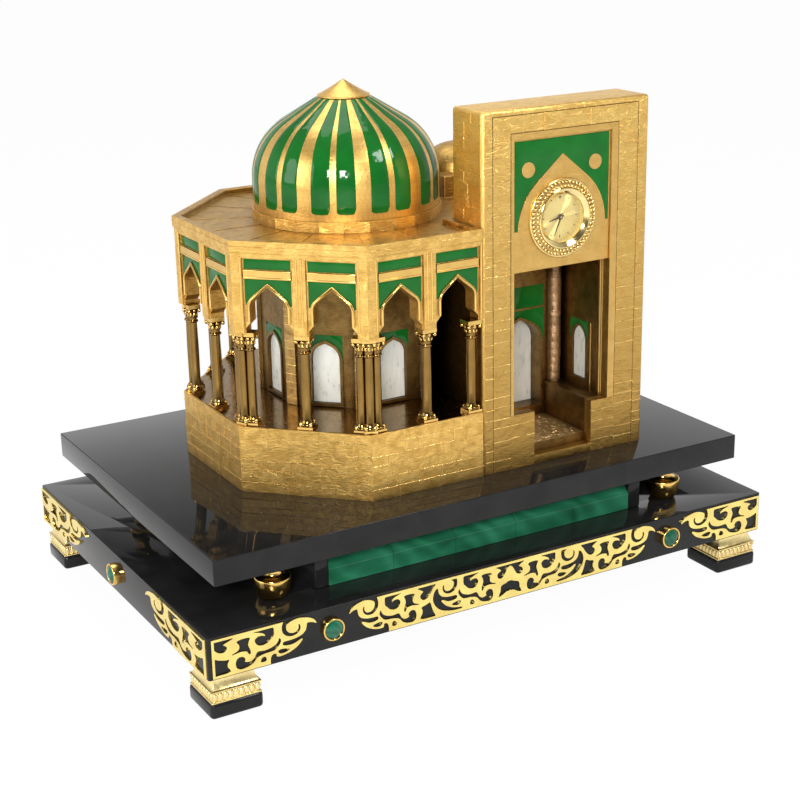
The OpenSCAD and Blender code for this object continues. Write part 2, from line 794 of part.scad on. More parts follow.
// Column on a square plinth, under a square abacus
module column() {
    column_profile();
    translate([-capital_side / 2, -capital_side / 2, 0]) cube([capital_side, capital_side, 1.5]);
    translate([-capital_side / 2, -capital_side / 2, column_h - 1.9])
        cube([capital_side, capital_side, 1.9]);
}

// Places of the three shafts of a corner cluster
function cluster() = [[0, 0], cluster_step * [cos(22.5), sin(22.5)], cluster_step * [-cos(22.5), sin(22.5)]];

// Plan of a cluster's plinth or capital: a square on each shaft, turned to its facet
module cluster_plan(side) {
    turns = [0, 22.5, -22.5];
    for (i = [0:2]) translate(cluster()[i]) rotate(turns[i]) square(side, center = true);
}

// Cluster of three shafts where two facets meet, on a common plinth and under a common capital
module corner_column() {
    step_h = 1.8;
    foot_h = 3.4;
    tier = 2;
    lap = 0.2;
    draw_in = 1.2;
    ring_out = 0.15;
    neck_z = column_h - capital_h;
    linear_extrude(step_h) cluster_plan(capital_side);
    translate([0, 0, step_h - eps]) linear_extrude(foot_h - step_h) cluster_plan(capital_side - step_h);
    for (at = cluster()) translate(at) {
        rod_between(foot_h - 2 * eps, column_h - 2.5 * tier, cluster_r);
        rod_between(neck_z, neck_z + draw_in, cluster_r + ring_out);
    }
    for (i = [0:2])
        translate([0, 0, column_h - (i + 1) * tier]) linear_extrude(i == 0 ? tier : tier + lap)
            cluster_plan(capital_side - i * draw_in);
}

module columns() {
    color(bright_gold) on_ground() left_of_portal(z_roof) at_octagon() translate([0, 0, podium_h]) {
        for (i = [0:4]) rotate(facet_turns[i]) translate([0, -oct_a + column_back, 0]) column();
        for (i = [0:3]) rotate(facet_turns[i] - 22.5)
            translate([0, -(oct_a - column_back) / cos(22.5), 0]) corner_column();
        for (side = [-1, 1])
            translate([portal_x - oct_x - capital_side / 2 + 0.9, side * (oct_a - column_back), 0]) column();
    }
}

// Arched window of the chamber
module window_opening(grow) {
    translate([0, window_z + window_h - window_rise])
        arch(window_w / 2 + grow, window_rise + grow / sin(window_lean), window_h - window_rise + grow,
             window_lean);
}

module window_enamel() {
    side = 1.6;
    drop = 7;
    rise = 4;
    difference() {
        translate([-window_w / 2 - side, window_z + window_h - drop])
            square([window_w + 2 * side, drop + rise]);
        window_opening(window_rim);
    }
}

module chamber() {
    h = z_roof - podium_h;
    strip = 6;
    strip_out = 0.4;
    door_half = 7;
    door_rise = 8;
    door_h = 50;
    door_shift = 4;
    color(gold) on_ground() left_of_portal(z_roof) at_octagon() translate([0, 0, podium_h]) {
        difference() {
            union() {
                linear_extrude(h) octagon(chamber_a);
                for (turn = [22.5:45:359])
                    rotate(turn) translate([-strip / 2, -chamber_a / cos(22.5) - strip_out, 0])
                        cube([strip, strip, h]);
            }
            translate([0, 0, -1]) linear_extrude(h + 2) octagon(chamber_a - chamber_wall);
            for (turn = facet_turns)
                rotate(turn) {
                    upright(-chamber_a - 1, chamber_wall + 2) window_opening(0);
                    upright(-chamber_a - 1, enamel_t + 1) window_enamel();
                }
            rotate(45) upright(-chamber_a - 1, chamber_wall + 2) translate([-door_shift, 0])
                arch(door_half, door_rise, door_h);
        }
        for (turn = facet_turns)
            rotate(turn) upright(-chamber_a - rim_rise, rim_rise + eps) difference() {
                window_opening(window_rim);
                window_opening(0);
            }
    }
}

// Hall behind the portal: side walls and rear wall under the roof
module hall() {
    color(gold) on_ground() difference() {
        translate([portal_x, portal_back, 0]) cube([portal_w, back_y - portal_back, z_roof]);
        translate([portal_x + hall_wall, portal_back - 1, -1])
            cube([portal_w - 2 * hall_wall, back_y - portal_back - hall_wall + 1, z_roof + 2]);
    }
}

// Plan of the roof, drawn in from the facades by the given amount
module roof_plan(inset) {
    a = oct_a - inset;
    half = a * tan(22.5);
    cut = portal_x - max(inset, 0);
    polygon([
        [oct_x - a, oct_y - half], [oct_x - half, oct_y - a], [cut, oct_y - a],
        [cut, portal_back + max(inset, 0)], [portal_end - inset, portal_back + max(inset, 0)],
        [portal_end - inset, oct_y + a], [oct_x - half, oct_y + a], [oct_x - a, oct_y + half]]);
}

// Roof with a parapet, the drum of the dome and a small vault over the hall
module roof() {
    vault_side = 38;
    vault_r = 17.5;
    vault_x = (portal_x + portal_end) / 2;
    vault_reach = 70;
    vault_y = portal_back + vault_reach;
    vault_h = 11;
    vault_rise = 13;
    vault_tip = 14;
    drum_out = 0.6;
    color(gold) on_ground() {
        difference() {
            translate([0, 0, z_roof]) linear_extrude(roof_t) roof_plan(-cornice);
            translate([0, 0, z_drum]) linear_extrude(roof_t) roof_plan(parapet_w - cornice);
        }
        at_octagon() translate([0, 0, z_drum - eps]) difference() {
            cylinder(r = dome_r + drum_out, h = drum_h + eps, $fn = 96);
            translate([0, 0, -1]) cylinder(r = dome_r - dome_wall, h = drum_h + 2, $fn = 96);
        }
        translate([vault_x, vault_y, z_drum - eps]) {
            translate([-vault_side / 2, -vault_side / 2, 0]) cube([vault_side, vault_side, vault_h]);
            translate([0, 0, vault_h - eps]) rotate_extrude() polygon(concat([[0, 0]],
                [for (a = [0:10:80]) [vault_r * cos(a), vault_rise * sin(a)]], [[0, vault_tip]]));
        }
    }
}

// Dome

// Upper part of the dome's section, from the start of its curve to its straight slope
function dome_curve(inset) = [
    for (i = [0:8]) let (a = (90 - dome_slope) * i / 8)
        [dome_r - dome_bend + (dome_bend - inset) * cos(a), dome_upright + (dome_bend - inset) * sin(a)]
];

// Half section of the dome's outside from its foot to the cap, drawn in by the given amount
function dome_side(inset) = concat(
    [[dome_r - dome_lean - inset, 0], [dome_r - inset, dome_waist]],
    dome_curve(inset),
    [[cap_r - inset * sin(dome_slope), cap_z - inset * cos(dome_slope)]]);

// Section of the enamel layer, from above the dome's foot to below the cap
function enamel_side(inset) = concat(
    [[dome_r - dome_lean * (1 - enamel_foot / dome_waist) - inset, enamel_foot],
     [dome_r - inset, dome_waist]],
    dome_curve(inset),
    [[cap_r + cap_lip - inset * sin(dome_slope),
      cap_z - cap_lip * tan(dome_slope) - inset * cos(dome_slope)]]);

function reversed(list) = [for (i = [len(list) - 1:-1:0]) list[i]];

// Fields between the ribs, from the given height over the dome's surface to the enamel's bed
module enamel_fields(over) {
    pair = 360 / dome_pairs;
    field = (pair - wide_rib - thin_rib) / 2;
    for (i = [0:dome_pairs - 1], start = [wide_rib / 2, wide_rib / 2 + field + thin_rib])
        rotate(i * pair + start)
            rotate_extrude(angle = field)
                polygon(concat(enamel_side(-over), reversed(enamel_side(enamel_t))));
}

module dome() {
    color(gold) on_ground() at_octagon() translate([0, 0, z_dome]) difference() {
        rotate_extrude($fn = 96) polygon(concat(
            dome_side(0), [[cap_r + cap_lip / 2, cap_z], [0, cap_z + cap_h], [0, cap_z - dome_wall]],
            reversed(dome_side(dome_wall))));
        enamel_fields(0.4);
    }
}

module dome_enamel() {
    color(enamel_green) on_ground() at_octagon() translate([0, 0, z_dome]) enamel_fields(0);
}

// Portal

module at_clock() {
    translate([clock_x, panel_y, z_ground + clock_z]) rotate([90, 0, 0]) children();
}

module portal() {
    color(gold) {
        difference() {
            on_ground() difference() {
                translate([portal_x, front_y, 0]) cube([portal_w, portal_d, portal_h]);
                translate([open_x, front_y - 1, landing_h])
                    cube([open_w, portal_d + 2, panel_z + eps - landing_h]);
                translate([open_x, front_y - 1, panel_z])
                    cube([open_w, panel_back + panel_t + 1, panel_h]);
                translate([open_x - porch_wall, porch_front, -1])
                    cube([open_w + 2 * porch_wall, portal_d, panel_z + porch_wall + 1]);
                translate([steps_x, front_y - 1, landing_h / 2]) cube([steps_w, tread + 1, landing_h]);
            }
            at_clock() translate([0, 0, -bore_d]) cylinder(r = bore_r, h = bore_d);
        }
        on_ground() {
            translate([open_x, front_y, landing_h - eps])
                cube([steps_x - open_x, tread, wall_h - landing_h + eps]);
            translate([steps_end, front_y, landing_h - eps])
                cube([open_end - steps_end, porch_front - front_y, bench_h - landing_h + eps]);
        }
    }
}

// Enamelled field over the clock, with a large arch left open and two gilt discs
module panel_field() {
    border = 0.8;
    strip = 2;
    disc_r = 3.6;
    disc_in = 7.6;
    disc_drop = 13.3;
    tip_drop = 7.6;
    foot_drop = 3.7;
    half = open_w / 2 - border;
    disc_x = half - disc_in;
    foot = clock_z - panel_z - foot_drop;
    difference() {
        translate([-half, foot]) square([2 * half, panel_h - border - foot]);
        translate([0, foot]) arch(half - strip, panel_h - border - foot - tip_drop, 1);
        for (side = [-1, 1]) translate([side * disc_x, panel_h - border - disc_drop]) circle(disc_r);
    }
}

module portal_panel() {
    color(gold) difference() {
        translate([clock_x, 0, z_ground + panel_z]) difference() {
            upright(panel_y, panel_t) translate([-open_w / 2, 0]) square([open_w, panel_h]);
            upright(panel_y - 1, enamel_t + 1) panel_field();
        }
        at_clock() translate([0, 0, -2 * panel_t]) cylinder(r = bore_r, h = 4 * panel_t);
    }
}

module panel_enamel() {
    color(enamel_green) translate([clock_x, 0, z_ground + panel_z]) upright(panel_y, enamel_t) panel_field();
}

// Porch

// Large arched window in the porch's rear wall
module rear_opening(grow) {
    translate([rear_mid, rear_spring])
        arch(rear_half + grow, rear_half + grow / sin(window_lean), rear_spring - rear_sill + grow,
             window_lean);
}

module rear_enamel() {
    margin = 2.2;
    over = 4.6;
    bar = 1;
    upper_h = 10.8;
    wide = 2 * (rear_half + margin);
    left = rear_mid - wide / 2;
    difference() {
        translate([left, rear_spring]) square([wide, rear_half + over]);
        rear_opening(rear_rim);
    }
    translate([left, rear_spring + rear_half + over + bar]) square([wide, upper_h]);
}

// Small arched window in the porch's right wall
module side_opening(grow) {
    translate([-side_mid, side_spring])
        arch(side_half + grow, side_half * 1.3 + grow / sin(window_lean), side_spring - side_sill + grow,
             window_lean);
}

module side_enamel() {
    margin = 2;
    over = 3;
    difference() {
        translate([-side_mid - side_half - margin, side_spring])
            square([2 * (side_half + margin), side_half * 1.3 + over]);
        side_opening(1.2);
    }
}

module porch() {
    outer_h = panel_z + porch_wall;
    depth = rear_y + rear_wall - porch_front;
    above_bench = panel_z - bench_h;
    rim_proud = 0.6;
    tall_bead = [1.6, above_bench, 1.5];
    short_bead = [8.9, above_bench / 2, 1];
    color(gold) on_ground() {
        difference() {
            translate([open_x - porch_wall, porch_front, 0]) cube([open_w + 2 * porch_wall, depth, outer_h]);
            translate([open_x, porch_front - 1, landing_h])
                cube([open_w, rear_y - porch_front + 1, panel_z - landing_h]);
            upright(rear_y - 1, rear_wall + 2) rear_opening(0);
            upright(rear_y - 1, enamel_t + 1) rear_enamel();
            facing_left(open_end - 1, side_recess + 1) side_opening(0);
            facing_left(open_end - 1, enamel_t + 1) side_enamel();
        }
        upright(rear_y - rim_proud, rim_proud + eps) difference() {
            rear_opening(rear_rim);
            rear_opening(0);
        }
        translate([steps_end, porch_front, landing_h - eps])
            cube([open_end - steps_end, rear_y + 1 - porch_front, bench_h - landing_h + eps]);
        translate([open_end - column_in, rear_y - column_out, bench_h - eps])
            cylinder(r = porch_column_r, h = above_bench + 2 * eps);
        for (bead = [tall_bead, short_bead])
            translate([open_end, porch_front + bead[0], bench_h - eps])
                cylinder(r = bead[2], h = bead[1] + 2 * eps);
    }
}

// Pearl panes in the windows of the chamber and of the porch
module window_panes() {
    slack = -0.04;
    color("gainsboro") on_ground() {
        left_of_portal(z_roof) at_octagon() translate([0, 0, podium_h]) for (turn = facet_turns)
            rotate(turn) upright(-chamber_a + 1.2, 1.2) window_opening(slack);
        upright(rear_y + rear_recess, 1.4) rear_opening(slack);
        facing_left(open_end + side_recess - 1, 1) side_opening(slack);
    }
}

// Enamel in the fields of the arcade, of the chamber and of the porch
module wall_enamel() {
    color(enamel_green) on_ground() {
        left_of_portal(z_roof) at_octagon() for (turn = facet_turns)
            rotate(turn) {
                translate([0, 0, z_capital]) upright(-oct_a + rim_back, enamel_t) each_bay() bay_enamel();
                translate([0, 0, podium_h]) upright(-chamber_a, enamel_t) window_enamel();
            }
        upright(rear_y, enamel_t) rear_enamel();
        facing_left(open_end, enamel_t) side_enamel();
    }
}

// Clock insert

module insert_can() {
    color("silver") at_clock() difference() {
        rotate_extrude() polygon([
            [0, -can_d], [can_r, -can_d], [can_r, gasket_z - gasket_h],
            [can_r - gasket_sink, gasket_z - gasket_h], [can_r - gasket_sink, gasket_z],
            [can_r, gasket_z], [can_r, 0], [can_r - can_wall, 0],
            [can_r - can_wall, can_wall - can_d], [0, can_wall - can_d]]);
        translate(concat(stem_at, -can_d - 1)) cylinder(r = stem_r + run_gap, h = can_wall + 2);
    }
}

module gasket() {
    free = 0.03;
    inner_r = can_r - gasket_sink + free;
    outer_r = bore_r - run_gap;
    bottom = gasket_z - gasket_h + free;
    top = gasket_z - free;
    color("dimgray") at_clock() rotate_extrude()
        polygon([[inner_r, bottom], [outer_r, bottom], [outer_r, top], [inner_r, top]]);
}

// Bezel with two beaded steps and a polished inner slope
module bezel() {
    outer_bead = bezel_r - 1.4;
    inner_bead = bezel_r - 3.3;
    color(bright_gold) at_clock() rotate_extrude($fn = 96) polygon(concat(
        [[crystal_r + 0.04, 0], [bezel_r, 0], [bezel_r, 1.2]],
        [for (a = [0:30:180]) [outer_bead + 0.9 * cos(a), 1.3 + 0.9 * sin(a)]],
        [for (a = [0:30:180]) [inner_bead + 0.8 * cos(a), 1.9 + 0.8 * sin(a)]],
        [[inner_bead - 1.4, 2.9], [dial_show_r, 1.6], [dial_show_r, 1.2], [crystal_r + 0.04, 1.2]]));
}

module crystal() {
    color("lightcyan", 0.4) at_clock() translate([0, 0, 0.2]) cylinder(r = crystal_r, h = 1, $fn = 96);
}

// Dial in a shallow pan whose rim reaches up under the crystal
module dial() {
    pan_r = can_r - can_wall - 0.05;
    color("khaki") at_clock() rotate_extrude($fn = 96) polygon([
        [pipe_r + run_gap, dial_z - dial_t], [pan_r, dial_z - dial_t], [pan_r, 0],
        [crystal_r - 0.4, 0], [dial_show_r + 0.4, dial_z], [pipe_r + run_gap, dial_z]]);
}

// Tapered hand that points to twelve, with a hub and a short tail
module hand(length, width, hub_r, hole_r) {
    difference() {
        union() {
            circle(hub_r);
            polygon([[-width / 2, -2], [width / 2, -2], [width * 0.6, length * 0.35],
                     [0.12, length], [-0.12, length], [-width * 0.6, length * 0.35]]);
        }
        circle(hole_r);
    }
}

module hour_hand() {
    color("saddlebrown") at_clock() translate([0, 0, dial_z + 0.45]) rotate(-shown_minutes / 2)
        linear_extrude(hand_t) hand(hour_l, 0.75, pipe_r + 0.35, pipe_r + 0.02);
}

module minute_hand() {
    color("saddlebrown") at_clock() translate([0, 0, dial_z + 1.05]) rotate(-shown_minutes * 6)
        linear_extrude(hand_t) hand(minute_l, 0.6, 1.05, arbor_tip_r + 0.02);
}

// Movement

// Toothed outline with straight flanks, thin enough to run with play
function toothed(n, m, turn) =
    let (step = 360 / n, pitch_r = n * m / 2, tip_r = pitch_r + 0.75 * m, root_r = pitch_r - 1.1 * m)
    [for (i = [0:n - 1], p = [[root_r, -0.25], [pitch_r, -0.19], [tip_r, -0.07],
                              [tip_r, 0.07], [pitch_r, 0.19], [root_r, 0.25]])
        p[0] * [cos(turn + step * (i + p[1])), sin(turn + step * (i + p[1]))]];

// Turn of a gear that puts its teeth in the gaps of another, seen along the line between them
function in_mesh(n, turn, line, other_n) =
    line + 180 - (0.5 - (line - turn) * n / 360) * 360 / other_n;

module gear_between(z0, z1, n, m, turn) {
    translate([0, 0, z0]) linear_extrude(z1 - z0) polygon(toothed(n, m, turn));
}

module rod_between(z0, z1, r) {
    translate([0, 0, z0]) cylinder(r = r, h = z1 - z0);
}

module main_plate() {
    plate_r = can_r - can_wall - 0.05;
    color("silver") at_clock() difference() {
        union() {
            rotate_extrude() polygon([
                [0, plate_z - main_t], [plate_r, plate_z - main_t], [plate_r, dial_z - dial_t],
                [plate_r - 1.4, dial_z - dial_t], [plate_r - 1.4, plate_z], [0, plate_z]]);
            translate(motion_at) rod_between(plate_z - main_t, dial_z - dial_t - 0.2, post_r);
        }
        rod_between(plate_z - main_t - 1, plate_z + 1, arbor_r + run_gap);
        for (at = [third_at, rotor_at])
            translate(at) rod_between(plate_z - main_t - 1, plate_z + 1, pivot_r + run_gap);
        translate(stem_at) rod_between(plate_z - main_t - 1, plate_z + 1, stem_r + run_gap);
    }
}

module train_bridge() {
    posts = [[-10.5, 6.5], [10, 6.5], [-11.2, -6.4]];
    back_z = plate_z - main_t - train_gap;
    color("silver") at_clock() difference() {
        union() {
            translate([0, 0, back_z - bridge_t]) linear_extrude(bridge_t) difference() {
                circle(12.6);
                translate([-15, -15]) square([30, 6.4]);
                translate(cell_at) circle(cell_r + 0.4);
            }
            for (at = posts) translate(at) rod_between(back_z - eps, plate_z - main_t, 0.9);
        }
        for (at = [third_at, rotor_at, [0, 0]])
            translate(at) rod_between(back_z - bridge_t - 1, back_z + 0.5, pivot_r + run_gap);
        translate(stem_at) rod_between(back_z - bridge_t - 1, back_z + 0.5, stem_r + run_gap);
    }
}

// Centre arbor with its wheel, its cannon pinion and the seat of the minute hand
module centre_wheel() {
    back_z = plate_z - main_t - train_gap;
    color(gold) at_clock() {
        gear_between(centre_z, centre_z + wheel_t, centre_teeth, wheel_m, centre_turn);
        rod_between(back_z + 0.1, dial_z + 0.9, arbor_r);
        rod_between(back_z - bridge_t, back_z + 0.2, pivot_r);
        rod_between(dial_z + 0.8, dial_z + 1.4, arbor_tip_r);
        gear_between(plate_z + 0.1, plate_z + 0.6, cannon_teeth, wheel_m, cannon_turn);
    }
}

module third_wheel() {
    back_z = plate_z - main_t - train_gap;
    color(gold) at_clock() translate(third_at) {
        rod_between(back_z - bridge_t, plate_z, pivot_r);
        gear_between(centre_z - 0.1, centre_z + wheel_t + 0.1, pinion_teeth, wheel_m,
                     in_mesh(centre_teeth, centre_turn, third_line, pinion_teeth));
        gear_between(third_z, third_z + wheel_t, third_teeth, rotor_m, third_turn);
    }
}

module rotor() {
    back_z = plate_z - main_t - train_gap;
    color("slategray") at_clock() translate(rotor_at) {
        rod_between(back_z - bridge_t, plate_z, pivot_r);
        gear_between(third_z - 0.1, third_z + wheel_t + 0.1, pinion_teeth, rotor_m,
                     in_mesh(third_teeth, third_turn, rotor_line, pinion_teeth));
        rod_between(third_z + wheel_t + 0.25, plate_z - main_t - 0.2, magnet_r);
    }
}

module motion_wheel() {
    color(gold) at_clock() translate(motion_at) difference() {
        union() {
            gear_between(plate_z + 0.15, plate_z + 0.55, motion_teeth, wheel_m,
                         in_mesh(cannon_teeth, cannon_turn, motion_line, motion_teeth));
            gear_between(plate_z + 0.5, plate_z + 1.1, motion_pinion, hour_m, motion_pinion_turn);
        }
        rod_between(plate_z - 1, plate_z + 2, post_r + run_gap);
    }
}

module hour_wheel() {
    color(gold) at_clock() difference() {
        union() {
            gear_between(plate_z + 0.65, plate_z + 1.05, hour_teeth, hour_m,
                         in_mesh(motion_pinion, motion_pinion_turn, motion_line + 180, hour_teeth));
            rod_between(plate_z + 0.65, dial_z + 0.45 + hand_t, pipe_r);
        }
        rod_between(plate_z, dial_z + 2, arbor_r + run_gap);
    }
}

// Knob on the back of the can, on a stem that carries the setting pinion
module setting_knob() {
    motion_turn = in_mesh(cannon_teeth, cannon_turn, motion_line, motion_teeth);
    color("dimgray") at_clock() translate(stem_at) {
        rod_between(-can_d - 0.2, plate_z + 0.65, stem_r);
        gear_between(plate_z + 0.15, plate_z + 0.55, cannon_teeth, wheel_m,
                     in_mesh(motion_teeth, motion_turn, stem_line, cannon_teeth));
        translate([0, 0, -can_d - 0.2 - knob_h]) linear_extrude(knob_h + eps)
            polygon([for (i = [0:23]) (knob_r - (i % 2) * 0.25) * [cos(15 * i), sin(15 * i)]]);
    }
}

// Stator plate round the rotor, with an arm to each end of the coil
module stator() {
    color("silver") at_clock() translate([0, 0, stator_z]) difference() {
        union() {
            translate(rotor_at) cylinder(r = 2.9, h = stator_t);
            linear_extrude(stator_t) polygon([
                rotor_at + [-2.4, -1], rotor_at + [-0.6, -1], [-6.6, coil_y + 1], [-6.6, coil_y - 1],
                [-9.4, coil_y - 1], [-9.4, coil_y + 1]]);
            linear_extrude(stator_t) polygon([
                rotor_at + [0.6, -1.6], rotor_at + [2, -1.2], [8.6, -7.2], [9.4, coil_y - 1],
                [6.6, coil_y - 1], [6.6, -8.4]]);
        }
        translate(concat(rotor_at, -1)) cylinder(r = magnet_r + 0.3, h = stator_t + 2);
    }
}

module coil() {
    color("peru") at_clock() translate([0, coil_y, stator_z - 0.6]) {
        rotate([0, 90, 0]) cylinder(r = 1.5, h = 12, center = true);
        translate([-9.4, -1, 0]) cube([18.8, 2, 0.6]);
    }
}

module button_cell() {
    cell_t = 2.6;
    top = plate_z - main_t;
    color("lightgray") at_clock() translate(cell_at) rod_between(top - cell_t, top, cell_r);
}

base_slab();
foot_block(0);  // foot_block_1
foot_block(1);  // foot_block_2
foot_block(2);  // foot_block_3
foot_block(3);  // foot_block_4
foot_pad(0);  // foot_pad_1
foot_pad(1);  // foot_pad_2
foot_pad(2);  // foot_pad_3
foot_pad(3);  // foot_pad_4
deck_slab();
pillar(0);  // pillar_1
pillar(1);  // pillar_2
pillar(2);  // pillar_3
pillar(3);  // pillar_4
core_block();
malachite_strips();
middle_plate(-1);  // front_plate
middle_plate(1);  // back_plate
corner_plates(0);  // corner_plates_1
corner_plates(1);  // corner_plates_2
corner_plates(2);  // corner_plates_3
corner_plates(3);  // corner_plates_4
cabochon_collars();
cabochons();
podium();
chamber();
window_panes();
arcade(0);  // arcade_front
arcade(1);  // arcade_front_left
arcade(2);  // arcade_left
arcade(3);  // arcade_back_left
arcade(4);  // arcade_back
columns();
wall_enamel();
roof();
dome();
dome_enamel();
portal();
portal_panel();
panel_enamel();
porch();
hall();
insert_can();
gasket();
bezel();
crystal();
dial();
hour_hand();
minute_hand();
main_plate();
train_bridge();
centre_wheel();
third_wheel();
rotor();
stator();
coil();
button_cell();
motion_wheel();
hour_wheel();
setting_knob();
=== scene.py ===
"""Dresses the table clock: a gilt domed pavilion with a clock in its portal, on a black stone stand."""

import logging
import math
import random
from contextlib import contextmanager
from dataclasses import dataclass
from enum import Enum
from typing import Iterator, Sequence

import bmesh
import bpy
from mathutils import Matrix, Vector


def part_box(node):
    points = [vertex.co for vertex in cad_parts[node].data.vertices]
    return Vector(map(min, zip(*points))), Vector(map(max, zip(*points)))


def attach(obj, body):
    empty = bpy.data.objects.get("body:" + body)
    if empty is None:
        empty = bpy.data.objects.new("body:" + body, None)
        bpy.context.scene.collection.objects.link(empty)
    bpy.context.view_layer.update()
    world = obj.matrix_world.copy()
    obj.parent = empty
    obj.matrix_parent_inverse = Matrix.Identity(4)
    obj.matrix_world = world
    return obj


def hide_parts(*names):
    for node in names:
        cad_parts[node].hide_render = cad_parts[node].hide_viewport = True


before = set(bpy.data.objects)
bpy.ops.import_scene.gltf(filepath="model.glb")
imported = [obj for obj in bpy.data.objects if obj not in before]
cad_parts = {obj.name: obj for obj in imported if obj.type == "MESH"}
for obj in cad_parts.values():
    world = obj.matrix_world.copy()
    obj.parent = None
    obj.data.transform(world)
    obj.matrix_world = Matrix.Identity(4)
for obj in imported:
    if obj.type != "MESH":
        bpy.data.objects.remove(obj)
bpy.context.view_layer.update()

LOG = logging.getLogger("table_clock")
ROOT = "stand_and_building"
MERGE = 2e-6
SAME_PLANE = math.radians(0.4)
FULL_TURN = 2 * math.pi
EIGHTH = math.radians(45)
SIXTEENTH = EIGHTH / 2

Point = tuple[float, float]
Profile = Sequence[Point]
Color = tuple[float, float, float]


class Slot(Enum):
    """Material slots of the record."""

    BLACK_STONE = "black_stone"
    POLISHED_GILT = "polished_gilt"
    CAST_GILT = "cast_gilt"
    MALACHITE = "malachite"
    GREEN_ENAMEL = "green_enamel"
    PEARL = "pearl"
    STEEL = "steel"
    RUBBER = "rubber"
    CRYSTAL = "crystal"
    CHAMPAGNE = "champagne"
    DARK_BRONZE = "dark_bronze"
    WHEEL_BRASS = "wheel_brass"
    COPPER = "copper"
    KNOB_PLASTIC = "knob_plastic"


class Facing(Enum):
    """Ways that a wall of the building can face, as turns about the upright axis."""

    FRONT = 0
    FRONT_LEFT = -45
    LEFT = -90
    BACK_LEFT = -135
    BACK = 180


class Blend(Enum):
    """Kinds of value that a Mix node takes, with the sockets of its two inputs and its output."""

    VECTOR = (4, 5, 1)
    RGBA = (6, 7, 2)


def spot(at: Sequence[float], turn: float = 0.0, axis: str = "Z") -> Matrix:
    """Place of a form that is turned about an axis and then moved."""
    return Matrix.Translation(at) @ Matrix.Rotation(turn, 4, axis)


def shown(name: str, data: bpy.types.ID) -> bpy.types.Object:
    """Puts an object into the scene.

    Args:
        name: the object's name.
        data: its mesh, curve, light or camera.

    Returns:
        The object.
    """
    made = bpy.data.objects.new(name, data)
    bpy.context.scene.collection.objects.link(made)
    return made


